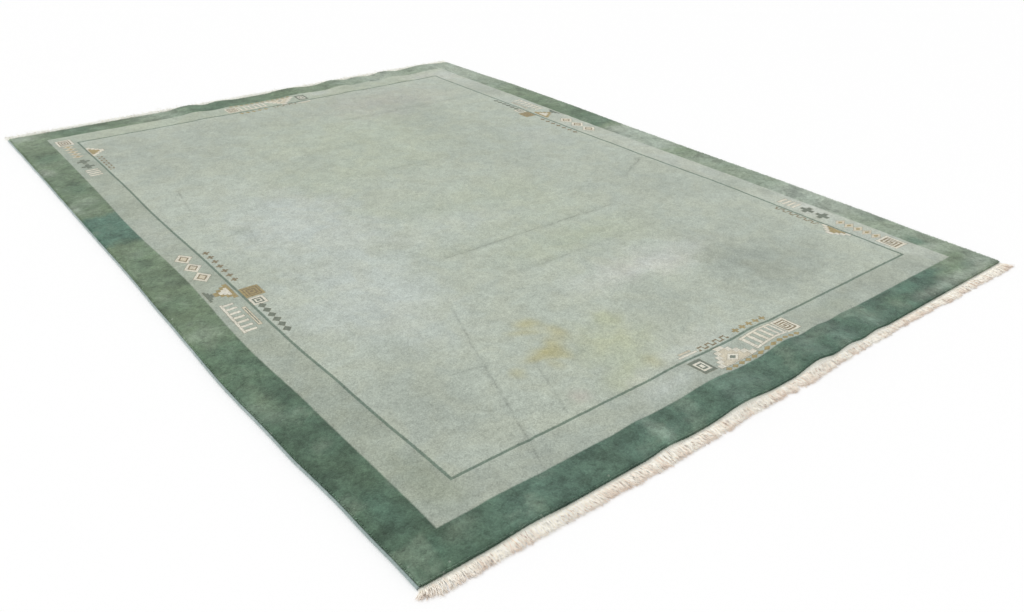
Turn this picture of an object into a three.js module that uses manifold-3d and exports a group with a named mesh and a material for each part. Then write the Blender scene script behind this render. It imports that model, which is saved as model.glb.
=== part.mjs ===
// A hand-knotted pile rug that lies on a floor: one thick slab of knotted wool, an overcast cord
// along each side, and at each end a flat-woven strip out of which the warp ends stand as a fringe.
// Millimetres. X runs across the rug, Y along it and Z up; the floor is the plane z = 0.

import * as THREE from "three";
import { mergeVertices } from "three/addons/utils/BufferGeometryUtils.js";
import Module from "manifold-3d";

const wasm = await Module();
wasm.setup();

// Driving dimensions
const CLEARANCE = 0.3; // between neighbouring pieces
const RUG_THICKNESS = 14; // foundation and pile together
const PILE_SHOULDER = 9; // height at which the pile's rim stands out furthest
const PILE_ROUNDING = 5; // how far the top of the pile draws in at its rim
const CORD_RADIUS = 4; // overcast side cords
const CORD_SIDES = 8;
const STRIP_DEPTH = 14; // flat-woven end strip, along Y
const STRIP_THICKNESS = 3.5;
const STRIP_INSET = 3; // the strip is this much shorter than the rug is wide, at each side
const STRIP_DROP = 0.45; // share of a ripple's height that the strip falls across its depth
const COLUMNS = 50; // divisions across the rug and across each end strip
const ROWS = 20; // divisions along the rug, closer together towards its ends

// Locks of the fringe: each is a flat tapered bundle of warp ends, widest where it is rooted.
const LOCKS_PER_END = 2 * COLUMNS; // two in each division of the strip
const LOCK_ROOT_DEPTH = 1.5; // how far a lock is rooted in the strip
const LOCK_SECTIONS = [
  { along: 0, width: 16, thickness: 3 },
  { along: 0.5, width: 14.5, thickness: 2.8 },
  { along: 1, width: 9, thickness: 2 },
];
const LOCK_ROOT_LIFT = 0.25; // keeps the root's faces inside the strip's
const LOCK_LENGTH_JITTER = 5;
const LOCK_LEAN_JITTER = 3;

// The rug's outline: how far each side stands from the long axis, to the outside of its cord.
const SIDES = [
  { y: -1698, left: 1229, right: 1226 },
  { y: -1420, left: 1235, right: 1228 },
  { y: -1100, left: 1248, right: 1237 },
  { y: -750, left: 1256, right: 1241 },
  { y: -300, left: 1250, right: 1237 },
  { y: 100, left: 1245, right: 1239 },
  { y: 600, left: 1245, right: 1248 },
  { y: 1050, left: 1243, right: 1247 },
  { y: 1400, left: 1243, right: 1231 },
  { y: 1700, left: 1244, right: 1224 },
];

// The two end lines of the pile. The near one runs a little askew.
const END_LINES = [
  { x: -1240, near: -1686, far: 1700 },
  { x: 1240, near: -1698, far: 1700 },
];

// Ripples that the ends have kept from being rolled: each crest runs inwards from an end line,
// stands height above the floor there, and dies away to both sides and over its reach.
const RIPPLES = [
  { end: "near", x: -930, height: 6, halfWidth: 120, reach: 260 },
  { end: "near", x: -490, height: 8, halfWidth: 85, reach: 260 },
  { end: "near", x: -200, height: 13, halfWidth: 150, reach: 380 },
  { end: "near", x: 130, height: 17, halfWidth: 115, reach: 400 },
  { end: "near", x: 290, height: 11, halfWidth: 95, reach: 330 },
  { end: "near", x: 430, height: 8, halfWidth: 85, reach: 260 },
  { end: "far", x: -410, height: 12, halfWidth: 110, reach: 330 },
  { end: "far", x: -230, height: 7, halfWidth: 90, reach: 260 },
  { end: "far", x: 150, height: 9, halfWidth: 150, reach: 300 },
  { end: "far", x: 420, height: 12, halfWidth: 110, reach: 360 },
  { end: "far", x: 580, height: 6, halfWidth: 80, reach: 260 },
  { end: "far", x: 760, height: 11, halfWidth: 100, reach: 360 },
  { end: "far", x: 1020, height: 9, halfWidth: 170, reach: 300 },
];

// How far the fringe reaches out from each end line.
const FRINGE_REACH = [
  { x: -1220, near: 42, far: 45 },
  { x: -1000, near: 47, far: 48 },
  { x: -800, near: 47, far: 44 },
  { x: -550, near: 57, far: 47 },
  { x: -400, near: 54, far: 50 },
  { x: -200, near: 45, far: 46 },
  { x: 60, near: 50, far: 43 },
  { x: 300, near: 38, far: 47 },
  { x: 700, near: 39, far: 50 },
  { x: 850, near: 47, far: 45 },
  { x: 1220, near: 48, far: 47 },
];

// Sideways lean of the locks at their tips: they fan out at the corners.
const FRINGE_LEAN = [
  { x: -1220, near: -15, far: -9 },
  { x: -1160, near: -3, far: -2 },
  { x: -700, near: 4, far: -3 },
  { x: 0, near: -3, far: 3 },
  { x: 700, near: 4, far: -2 },
  { x: 1160, near: 3, far: 2 },
  { x: 1220, near: 10, far: 10 },
];

// Dyed wool and bleached cotton
const PILE_COLOUR = 0xa9b3a1;
const CORD_COLOUR = 0x8f9f97;
const COTTON_COLOUR = 0xe2dacb;
const WOOL_ROUGHNESS = 0.92;
const COTTON_ROUGHNESS = 0.97;

// The value of one column of a table at a place along its key column, eased between the rows.
function tableValue(table, key, place, column) {
  const last = table.length - 1;
  if (place <= table[0][key]) return table[0][column];
  if (place >= table[last][key]) return table[last][column];
  const next = table.findIndex((row) => row[key] > place);
  const low = table[next - 1];
  const high = table[next];
  const share = THREE.MathUtils.smoothstep(place, low[key], high[key]);
  return THREE.MathUtils.lerp(low[column], high[column], share);
}

// Where an end line of the pile lies at a place across the rug.
function endLine(end, x) {
  const [left, right] = END_LINES;
  return THREE.MathUtils.mapLinear(x, left.x, right.x, left[end], right[end]);
}

// A smooth hump, 1 in the middle and 0 from a distance of 1 outwards.
function hump(distance) {
  if (Math.abs(distance) >= 1) return 0;
  return Math.cos((distance * Math.PI) / 2) ** 2;
}

// Height of the rug's underside over the floor, from all ripples together.
function lift(x, y) {
  return RIPPLES.reduce((sum, ripple) => {
    const inwards = Math.abs(endLine(ripple.end, x) - y);
    const across = hump((x - ripple.x) / ripple.halfWidth);
    return sum + ripple.height * across * hump(inwards / ripple.reach);
  }, 0);
}

// A share from 0 to 1 that looks random and is the same each time for the same number.
function scatter(number) {
  const wave = Math.sin(number * 12.9898) * 43758.5453;
  return wave - Math.floor(wave);
}

// Share of the way from the near end to the far end, with the rows closer together at the ends.
function rowShare(share) {
  return (1 - Math.cos(Math.PI * share)) / 2;
}

// A copy of a closed geometry with its shared points merged and each point put in its place.
function shaped(geometry, place) {
  const bare = geometry.clone();
  bare.deleteAttribute("normal");
  bare.deleteAttribute("uv");
  const merged = mergeVertices(bare);
  const positions = merged.getAttribute("position");
  const point = new THREE.Vector3();
  for (let i = 0; i < positions.count; i++) {
    point.fromBufferAttribute(positions, i);
    const placed = place(point);
    positions.setXYZ(i, placed.x, placed.y, placed.z);
  }
  return merged;
}

// A closed geometry as a solid that can be joined to others.
function solid(geometry) {
  return new wasm.Manifold(
    new wasm.Mesh({
      numProp: 3,
      vertProperties: geometry.getAttribute("position").array,
      triVerts: new Uint32Array(geometry.index.array),
    }),
  );
}

// Several closed geometries that run into each other, joined to one.
function joined(geometries) {
  const whole = geometries.map(solid).reduce((sum, next) => sum.add(next));
  const { vertProperties, triVerts } = whole.getMesh();
  return new THREE.BufferGeometry()
    .setAttribute("position", new THREE.BufferAttribute(vertProperties, 3))
    .setIndex(new THREE.BufferAttribute(triVerts, 1));
}

// A named mesh in its own material.
function piece(name, geometry, color, roughness) {
  geometry.computeVertexNormals();
  const material = new THREE.MeshStandardMaterial({ color, roughness, metalness: 0 });
  const mesh = new THREE.Mesh(geometry, material);
  mesh.name = name;
  return mesh;
}

// The knotted slab: a unit box of two layers, laid out over the outline and the ripples. Its
// sides stand upright up to the pile's shoulder and draw in from there to the top.
function pileRug() {
  const cordSpace = 2 * CORD_RADIUS + CLEARANCE;
  const box = new THREE.BoxGeometry(1, 1, 1, COLUMNS, ROWS, 2);
  return shaped(box, (point) => {
    const isTop = point.z === 0.5;
    const isBottom = point.z === -0.5;
    const drawIn = isTop ? PILE_ROUNDING : 0;
    const along = rowShare(point.y + 0.5);
    const middleY = THREE.MathUtils.lerp(endLine("near", 0), endLine("far", 0), along);
    const left = -tableValue(SIDES, "y", middleY, "left") + cordSpace;
    const right = tableValue(SIDES, "y", middleY, "right") - cordSpace;
    let x = THREE.MathUtils.lerp(left, right, point.x + 0.5);
    let y = THREE.MathUtils.lerp(endLine("near", x), endLine("far", x), along);
    if (Math.abs(point.x) === 0.5) x -= Math.sign(point.x) * drawIn;
    if (Math.abs(point.y) === 0.5) y -= Math.sign(point.y) * drawIn;
    const height = isTop ? RUG_THICKNESS : PILE_SHOULDER;
    return new THREE.Vector3(x, y, lift(x, y) + (isBottom ? 0 : height));
  });
}

// The cord along one side, -1 for the left and 1 for the right, which follows the slab's edge.
function sideCord(side) {
  const column = side < 0 ? "left" : "right";
  const tube = new THREE.CylinderGeometry(CORD_RADIUS, CORD_RADIUS, 1, CORD_SIDES, ROWS);
  const axisHeight = CORD_RADIUS * Math.cos(Math.PI / CORD_SIDES); // it lies on one of its flats
  return shaped(tube.rotateY(Math.PI / CORD_SIDES), (point) => {
    const along = rowShare(point.y + 0.5);
    const middleY = THREE.MathUtils.lerp(endLine("near", 0), endLine("far", 0), along);
    const axisX = side * (tableValue(SIDES, "y", middleY, column) - CORD_RADIUS);
    const y = THREE.MathUtils.lerp(endLine("near", axisX), endLine("far", axisX), along);
    return new THREE.Vector3(axisX + point.x, y, axisHeight + lift(axisX, y) + point.z);
  });
}

// Where the strip of one end lies at a share of the way across it, from 0 on the left to 1.
function stripX(end, share) {
  const endY = endLine(end, 0);
  const left = -tableValue(SIDES, "y", endY, "left") + STRIP_INSET;
  const right = tableValue(SIDES, "y", endY, "right") - STRIP_INSET;
  return THREE.MathUtils.lerp(left, right, share);
}

// Height of the strip's underside, straight between its divisions, at a share of the way across
// it and at a depth outwards from the end line. It falls towards the floor over its depth.
function stripHeight(end, share, depth) {
  const division = Math.min(Math.floor(share * COLUMNS), COLUMNS - 1);
  const [low, high] = [division, division + 1].map((edge) => {
    const x = stripX(end, edge / COLUMNS);
    return lift(x, endLine(end, x));
  });
  const ripple = THREE.MathUtils.lerp(low, high, share * COLUMNS - division);
  return ripple * (1 - (STRIP_DROP * depth) / STRIP_DEPTH);
}

// The flat-woven strip beyond one end line.
function endStrip(end) {
  const outward = Math.sign(endLine(end, 0));
  const box = new THREE.BoxGeometry(1, 1, 1, COLUMNS, 1, 1);
  return shaped(box, (point) => {
    const share = point.x + 0.5;
    const x = stripX(end, share);
    const depth = point.y * outward > 0 ? STRIP_DEPTH : CLEARANCE;
    const z = stripHeight(end, share, depth) + (point.z > 0 ? STRIP_THICKNESS : 0);
    return new THREE.Vector3(x, endLine(end, x) + outward * depth, z);
  });
}

// One lock: rooted in the strip's outer edge, down to the floor by its middle, level to its tip.
function lock(end, share, number) {
  const outward = Math.sign(endLine(end, 0));
  const rootX = stripX(end, share);
  const rootDepth = STRIP_DEPTH - LOCK_ROOT_DEPTH;
  const jitter = LOCK_LENGTH_JITTER * (scatter(number) - 0.5);
  const reach = tableValue(FRINGE_REACH, "x", rootX, end) + jitter;
  const leanJitter = LOCK_LEAN_JITTER * (scatter(number + 0.5) - 0.5);
  const lean = tableValue(FRINGE_LEAN, "x", rootX, end) + leanJitter;
  const stripWidth = stripX(end, 1) - stripX(end, 0);
  const box = new THREE.BoxGeometry(1, 1, 1, 1, LOCK_SECTIONS.length - 1, 1);
  return shaped(box, (point) => {
    const along = point.y * outward + 0.5;
    const section = LOCK_SECTIONS.find((row) => row.along === along);
    const aside = section.width * point.x;
    const depth = THREE.MathUtils.lerp(rootDepth, reach, along);
    const isRoot = along === 0;
    const rootHeight = stripHeight(end, share + aside / stripWidth, rootDepth) + LOCK_ROOT_LIFT;
    const z = (isRoot ? rootHeight : 0) + (point.z > 0 ? section.thickness : 0);
    return new THREE.Vector3(rootX + lean * along + aside, endLine(end, rootX) + outward * depth, z);
  });
}

// The strip and all the locks of one end.
function fringe(end) {
  const firstNumber = end === "near" ? 0 : LOCKS_PER_END;
  const locks = Array.from({ length: LOCKS_PER_END }, (_, i) =>
    lock(end, (i + 0.5) / LOCKS_PER_END, firstNumber + i),
  );
  return joined([endStrip(end), ...locks]);
}

const rug = new THREE.Group();
rug.add(
  piece("pile_rug", pileRug(), PILE_COLOUR, WOOL_ROUGHNESS),
  piece("selvedge_left", sideCord(-1), CORD_COLOUR, WOOL_ROUGHNESS),
  piece("selvedge_right", sideCord(1), CORD_COLOUR, WOOL_ROUGHNESS),
  piece("fringe_near", fringe("near"), COTTON_COLOUR, COTTON_ROUGHNESS),
  piece("fringe_far", fringe("far"), COTTON_COLOUR, COTTON_ROUGHNESS),
);

// The origin is the middle of the rug's outer box, on the floor.
const middle = new THREE.Box3().setFromObject(rug, true).getCenter(new THREE.Vector3());
rug.position.set(-middle.x, -middle.y, 0);

export default rug;
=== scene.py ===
"""A hand-knotted pile rug on a pale floor.

The rug is one slab of knotted wool with a carved line, an overcast cord along each side, and a
flat-woven strip with a short fringe at each end. Metres; X runs across the rug, Y along it and Z up.
Places in the rug's own drawing are called u (across) and v (along). They stay straight where the
rug itself lies a little askew, so the border, the carved line and the ornaments follow the cloth.
"""

import logging
import math
from collections.abc import Callable, Sequence
from dataclasses import dataclass
from enum import Enum

import bmesh
import bpy
import numpy as np
from mathutils import Matrix, Vector


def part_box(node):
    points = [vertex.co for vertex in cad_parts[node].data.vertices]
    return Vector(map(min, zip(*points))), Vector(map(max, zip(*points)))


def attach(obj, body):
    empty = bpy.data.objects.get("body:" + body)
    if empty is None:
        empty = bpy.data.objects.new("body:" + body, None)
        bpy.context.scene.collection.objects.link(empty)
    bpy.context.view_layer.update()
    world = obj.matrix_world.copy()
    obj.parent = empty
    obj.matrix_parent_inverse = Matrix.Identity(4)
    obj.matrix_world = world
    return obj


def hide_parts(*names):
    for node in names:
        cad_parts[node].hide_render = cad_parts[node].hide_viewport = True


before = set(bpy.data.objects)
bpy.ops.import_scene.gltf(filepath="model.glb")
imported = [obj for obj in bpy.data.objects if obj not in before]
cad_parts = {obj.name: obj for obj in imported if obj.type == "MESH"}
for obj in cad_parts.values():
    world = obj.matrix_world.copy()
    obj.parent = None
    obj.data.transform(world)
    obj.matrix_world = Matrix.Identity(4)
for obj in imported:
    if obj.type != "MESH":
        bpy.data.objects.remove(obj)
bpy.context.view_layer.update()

LOG = logging.getLogger("rug")
MM = 0.001
TINY = 1e-5
DESIGN_UV = "design"
GROUND_TONE = "ground_tone"
BORDER_TONE = "border_tone"
YARN_TONE = "yarn_tone"

Array = np.ndarray
Mesh = bpy.types.Mesh
Material = bpy.types.Material
Socket = bpy.types.NodeSocket
Colour = tuple[float, float, float]
Value = Socket | float


class End(Enum):
    """The two fringed ends, by the sign of their Y."""

    NEAR = -1
    FAR = 1


class Side(Enum):
    """The two long sides, by the sign of their X."""

    LEFT = -1
    RIGHT = 1


class Rim(Enum):
    """The two parts of the slab's rim."""

    ENDS = "ends"
    SIDES = "sides"


def linear(colour: Colour) -> Colour:
    """A colour of the usual 0 to 255 kind as the linear one that shaders take."""
    shares = (channel / 255 for channel in colour)
    return tuple(s / 12.92 if s <= 0.04045 else ((s + 0.055) / 1.055) ** 2.4 for s in shares)


class Wool(Enum):
    """Dyed and faded wools, as they look in white light."""

    FIELD = (182, 190, 177)
    MIST = (193, 201, 195)
    SAGE = (178, 187, 168)
    CHALK = (203, 206, 199)
    OYSTER = (188, 194, 183)
    PEWTER = (160, 168, 157)
    FLINT = (154, 163, 149)
    DUSK = (148, 157, 141)
    BLUSH = (187, 183, 174)
    STAIN = (180, 173, 122)
    OLIVE = (180, 186, 156)
    DEEP = (85, 109, 91)
    SPRUCE = (90, 116, 101)
    FOREST = (97, 121, 99)
    MOSS = (112, 131, 106)
    TEAL = (91, 123, 107)
    LEAF = (126, 143, 119)
    FROST = (138, 162, 147)
    ASH = (146, 160, 142)
    SILVER = (164, 175, 161)


class Yarn(Enum):
    """Small amounts of other wool, for the ornaments and the carved line."""

    LINE = (104, 124, 110)
    CREAM = (224, 220, 205)
    PEACH = (209, 201, 180)
    OCHRE = (165, 149, 106)
    BROWN = (134, 121, 95)
    SLATE = (114, 123, 111)


def smooth(share: Array) -> Array:
    """A share from 0 to 1, eased towards both ends."""
    return share * share * (3 - 2 * share)


def eased(place: Array, keys: Sequence[float], values: Sequence) -> Array:
    """Values read from a short table, eased between its rows and level beyond its ends.

    Args:
        place: Where to read, one number for each point.
        keys: The rows' places, rising.
        values: One number, or one colour, for each row.

    Returns:
        One value for each point.
    """
    place, keys, values = np.asarray(place, float), np.array(keys, float), np.array(values, float)
    row = np.clip(np.searchsorted(keys, place, side="right") - 1, 0, len(keys) - 2)
    share = smooth(np.clip((place - keys[row]) / (keys[row + 1] - keys[row]), 0, 1))
    if values.ndim > 1:
        share = share[..., None]
    return values[row] + (values[row + 1] - values[row]) * share


def hump(distance: Array) -> Array:
    """A smooth hump: 1 in the middle and 0 from a distance of 1 outwards."""
    return np.cos(np.clip(np.abs(distance), 0, 1) * math.pi / 2) ** 2


def blend(low: Array, high: Array | Colour, share: Array) -> Array:
    """Colours part of the way from low to high, by one share for each point."""
    return low + (np.asarray(high) - low) * np.asarray(share)[..., None]


@dataclass(frozen=True)
class Lumps:
    """Smooth unevenness of a given cell size, the same each run."""

    seed: int
    cell: float
    octaves: int = 3
    lattice: int = 64

    def __call__(self, x: Array, y: Array) -> Array:
        """The unevenness at each place, about -1 to 1.

        Args:
            x: Places across.
            y: Places along.

        Returns:
            One number for each place.
        """
        draws = np.random.default_rng(self.seed)
        total = np.zeros(np.broadcast(x, y).shape)
        weight, cell = 1.0, self.cell
        for _ in range(self.octaves):
            heights = draws.uniform(-1, 1, (self.lattice, self.lattice))
            total += weight * self._layer(heights, np.asarray(x) / cell, np.asarray(y) / cell)
            weight, cell = weight / 2, cell / 2
        return total

    def _layer(self, heights: Array, x: Array, y: Array) -> Array:
        """One layer of unevenness, from a square of heights that repeats."""
        column, row = np.floor(x).astype(int), np.floor(y).astype(int)
        across, along = smooth(x - column), smooth(y - row)
        corners = [
            heights[(column + i) % self.lattice, (row + j) % self.lattice] for j in (0, 1) for i in (0, 1)
        ]
        low = corners[0] + (corners[1] - corners[0]) * across
        high = corners[2] + (corners[3] - corners[2]) * across
        return low + (high - low) * along


@dataclass(frozen=True)
class Ripple:
    """A ripple that an end has kept from being rolled, its crest running inwards from the end."""

    end: End
    x: float
    height: float
    half_width: float
    reach: float


@dataclass(frozen=True)
class Layout:
    """How the rug lies: its outline, its drawing and its ripples, in the rug's own measures."""

    thickness: float = 14 * MM
    cord_radius: float = 4 * MM
    clearance: float = 0.3 * MM
    strip_depth: float = 14 * MM
    strip_thickness: float = 3.5 * MM
    strip_inset: float = 3 * MM
    strip_drop: float = 0.45
    outline_u: float = 1.235
    border_u: float = 1.10
    line_u: float = 0.985
    outline_v: float = 1.70
    border_v: float = 1.5755
    line_v: float = 1.4635
    side_places: tuple[float, ...] = (-1.698, -1.42, -1.10, -0.75, -0.30, 0.10, 0.60, 1.05, 1.40, 1.70)
    left_outline: tuple[float, ...] = (1.229, 1.235, 1.248, 1.256, 1.250, 1.245, 1.245, 1.243, 1.243, 1.244)
    right_outline: tuple[float, ...] = (1.226, 1.228, 1.237, 1.241, 1.237, 1.239, 1.248, 1.247, 1.231, 1.224)
    drawn_places: tuple[float, ...] = (-1.5, -1.0, -0.65, -0.1, 0.4, 0.9, 1.4)
    left_border: tuple[float, ...] = (1.104, 1.112, 1.122, 1.107, 1.116, 1.106, 1.103)
    right_border: tuple[float, ...] = (1.100, 1.103, 1.106, 1.100, 1.098, 1.101, 1.096)
    left_line: tuple[float, ...] = (0.986, 0.999, 1.008, 1.004, 1.008, 1.001, 1.000)
    right_line: tuple[float, ...] = (0.984, 0.988, 0.994, 0.980, 0.974, 0.980, 0.975)
    near_line_left: float = -1.686
    near_line_right: float = -1.698
    line_corner: float = 1.240
    far_line: float = 1.700
    ripples: tuple[Ripple, ...] = (
        Ripple(End.NEAR, -0.93, 0.006, 0.120, 0.26),
        Ripple(End.NEAR, -0.49, 0.008, 0.085, 0.26),
        Ripple(End.NEAR, -0.20, 0.013, 0.150, 0.38),
        Ripple(End.NEAR, 0.13, 0.017, 0.115, 0.40),
        Ripple(End.NEAR, 0.29, 0.011, 0.095, 0.33),
        Ripple(End.NEAR, 0.43, 0.008, 0.085, 0.26),
        Ripple(End.FAR, -0.41, 0.012, 0.110, 0.33),
        Ripple(End.FAR, -0.23, 0.007, 0.090, 0.26),
        Ripple(End.FAR, 0.15, 0.009, 0.150, 0.30),
        Ripple(End.FAR, 0.42, 0.012, 0.110, 0.36),
        Ripple(End.FAR, 0.58, 0.006, 0.080, 0.26),
        Ripple(End.FAR, 0.76, 0.011, 0.100, 0.36),
        Ripple(End.FAR, 1.02, 0.009, 0.170, 0.30),
    )

    @property
    def shift(self) -> Array:
        """From the rug's own measures to the frame, whose origin is the middle of the whole."""
        low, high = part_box("pile_rug")
        askew = (max(self.right_outline) - max(self.left_outline)) / 2
        return np.array([(low.x + high.x) / 2 - askew, high.y - self.far_line, 0.0])

    def in_frame(self, x: Array, y: Array, z: Array) -> Array:
        """Points of the rug's own measures as points of the frame."""
        return np.stack(np.broadcast_arrays(x, y, z), axis=-1) + self.shift

    def outline(self, side: Side, y: Array) -> Array:
        """How far the outside of a side cord stands from the long axis."""
        rows = self.left_outline if side is Side.LEFT else self.right_outline
        return eased(y, self.side_places, rows)

    def end_line(self, end: End, x: Array) -> Array:
        """Where an end line of the pile lies at a place across the rug."""
        if end is End.FAR:
            return np.full_like(np.asarray(x, float), self.far_line)
        share = (np.asarray(x, float) + self.line_corner) / (2 * self.line_corner)
        return self.near_line_left + (self.near_line_right - self.near_line_left) * share

    def lift(self, x: Array, y: Array) -> Array:
        """Height of the rug's underside over the floor, from all ripples together."""
        total = np.zeros(np.broadcast(x, y).shape)
        for ripple in self.ripples:
            inwards = np.abs(self.end_line(ripple.end, x) - y) / ripple.reach
            total += ripple.height * hump((x - ripple.x) / ripple.half_width) * hump(inwards)
        return total

    def strip_span(self, end: End) -> tuple[float, float]:
        """Where the flat-woven strip of an end starts on the left and stops on the right."""
        y = self.end_line(end, 0.0)
        left, right = (float(self.outline(side, y)) for side in (Side.LEFT, Side.RIGHT))
        return -left + self.strip_inset, right - self.strip_inset

    def strip_height(self, end: End, x: Array, depth: Array) -> Array:
        """Height of the strip's underside at a depth outwards from the end line."""
        fall = 1 - self.strip_drop * depth / self.strip_depth
        return self.lift(x, self.end_line(end, x)) * fall

    def place(self, u: Array, v: Array) -> tuple[Array, Array]:
        """Where a place of the drawing lies on the rug.

        Args:
            u: Places across the drawing.
            v: Places along the drawing.

        Returns:
            X and Y in the rug's own measures.
        """
        u, v = np.broadcast_arrays(np.asarray(u, float), np.asarray(v, float))
        near, far = self.end_line(End.NEAR, u), self.end_line(End.FAR, u)
        fixed = [np.full_like(u, y) for y in (-self.border_v, -self.line_v, self.line_v, self.border_v)]
        marks = (-self.outline_v, -self.border_v, -self.line_v, self.line_v, self.border_v, self.outline_v)
        y = self._between(v, marks, [near, *fixed, far])
        cord = 2 * self.cord_radius + self.clearance
        stops = [
            -self.outline(Side.LEFT, y) + cord,
            -eased(y, self.drawn_places, self.left_border),
            -eased(y, self.drawn_places, self.left_line),
            eased(y, self.drawn_places, self.right_line),
            eased(y, self.drawn_places, self.right_border),
            self.outline(Side.RIGHT, y) - cord,
        ]
        marks = (-self.outline_u, -self.border_u, -self.line_u, self.line_u, self.border_u, self.outline_u)
        return self._between(u, marks, stops), y

    @staticmethod
    def _between(place: Array, marks: Sequence[float], stops: Sequence[Array]) -> Array:
        """Places between stops that differ from point to point, read by even marks."""
        marks, stops = np.array(marks), np.stack(stops)
        step = np.clip(np.searchsorted(marks, place, side="right") - 1, 0, len(marks) - 2)
        share = (place - marks[step]) / (marks[step + 1] - marks[step])
        low = np.take_along_axis(stops, step[None], 0)[0]
        high = np.take_along_axis(stops, step[None] + 1, 0)[0]
        return low + (high - low) * share

    def past_border(self, u: Array, v: Array) -> Array:
        """How far a place lies outside the inner edge of the dark border, less than 0 inside."""
        return np.maximum(np.abs(u) - self.border_u, np.abs(v) - self.border_v)

    def past_line(self, u: Array, v: Array) -> Array:
        """How far a place lies outside the carved line, less than 0 inside."""
        return np.maximum(np.abs(u) - self.line_u, np.abs(v) - self.line_v)


@dataclass(frozen=True)
class Cloud:
    """A soft patch of another tone in the wool."""

    u: float
    v: float
    across: float
    along: float
    tone: Wool
    strength: float
    turn: float = 0.0

    def share(self, u: Array, v: Array) -> Array:
        """How much of the cloud's tone shows at each place."""
        turn = math.radians(self.turn)
        du, dv = u - self.u, v - self.v
        across = (du * math.cos(turn) + dv * math.sin(turn)) / self.across
        along = (dv * math.cos(turn) - du * math.sin(turn)) / self.along
        return self.strength * hump(np.hypot(across, along) / 1.5)


@dataclass(frozen=True)
class Crease:
    """A fold mark: a soft trough along a straight run, with a thin line of painted shade in its bottom.

    The width is half the trough's, the depth is its depth, dark is how much painted shade darkens the trough,
    line how much painted shade darkens the thin line, and the crest number how much paler the pile beside it
    is painted, a painted highlight.
    """

    start: tuple[float, float]
    stop: tuple[float, float]
    width: float
    depth: float
    dark: float
    line: float = 0.0
    crest_highlight: float = 0.0

    @property
    def length(self) -> float:
        """How long the run is."""
        return math.dist(self.start, self.stop)

    @property
    def way(self) -> tuple[float, float]:
        """The way the run goes, one unit long."""
        return tuple((b - a) / self.length for a, b in zip(self.start, self.stop))

    def across_and_along(self, u: Array, v: Array) -> tuple[Array, Array]:
        """Distance off the run, with its sign, and the fading share along it."""
        run = self.way
        du, dv = u - self.start[0], v - self.start[1]
        along = du * run[0] + dv * run[1]
        off = dv * run[0] - du * run[1]
        middle = np.abs(along / self.length - 0.5) * 2
        return off, eased(middle, (0.7, 1.08), (1, 0))


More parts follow.
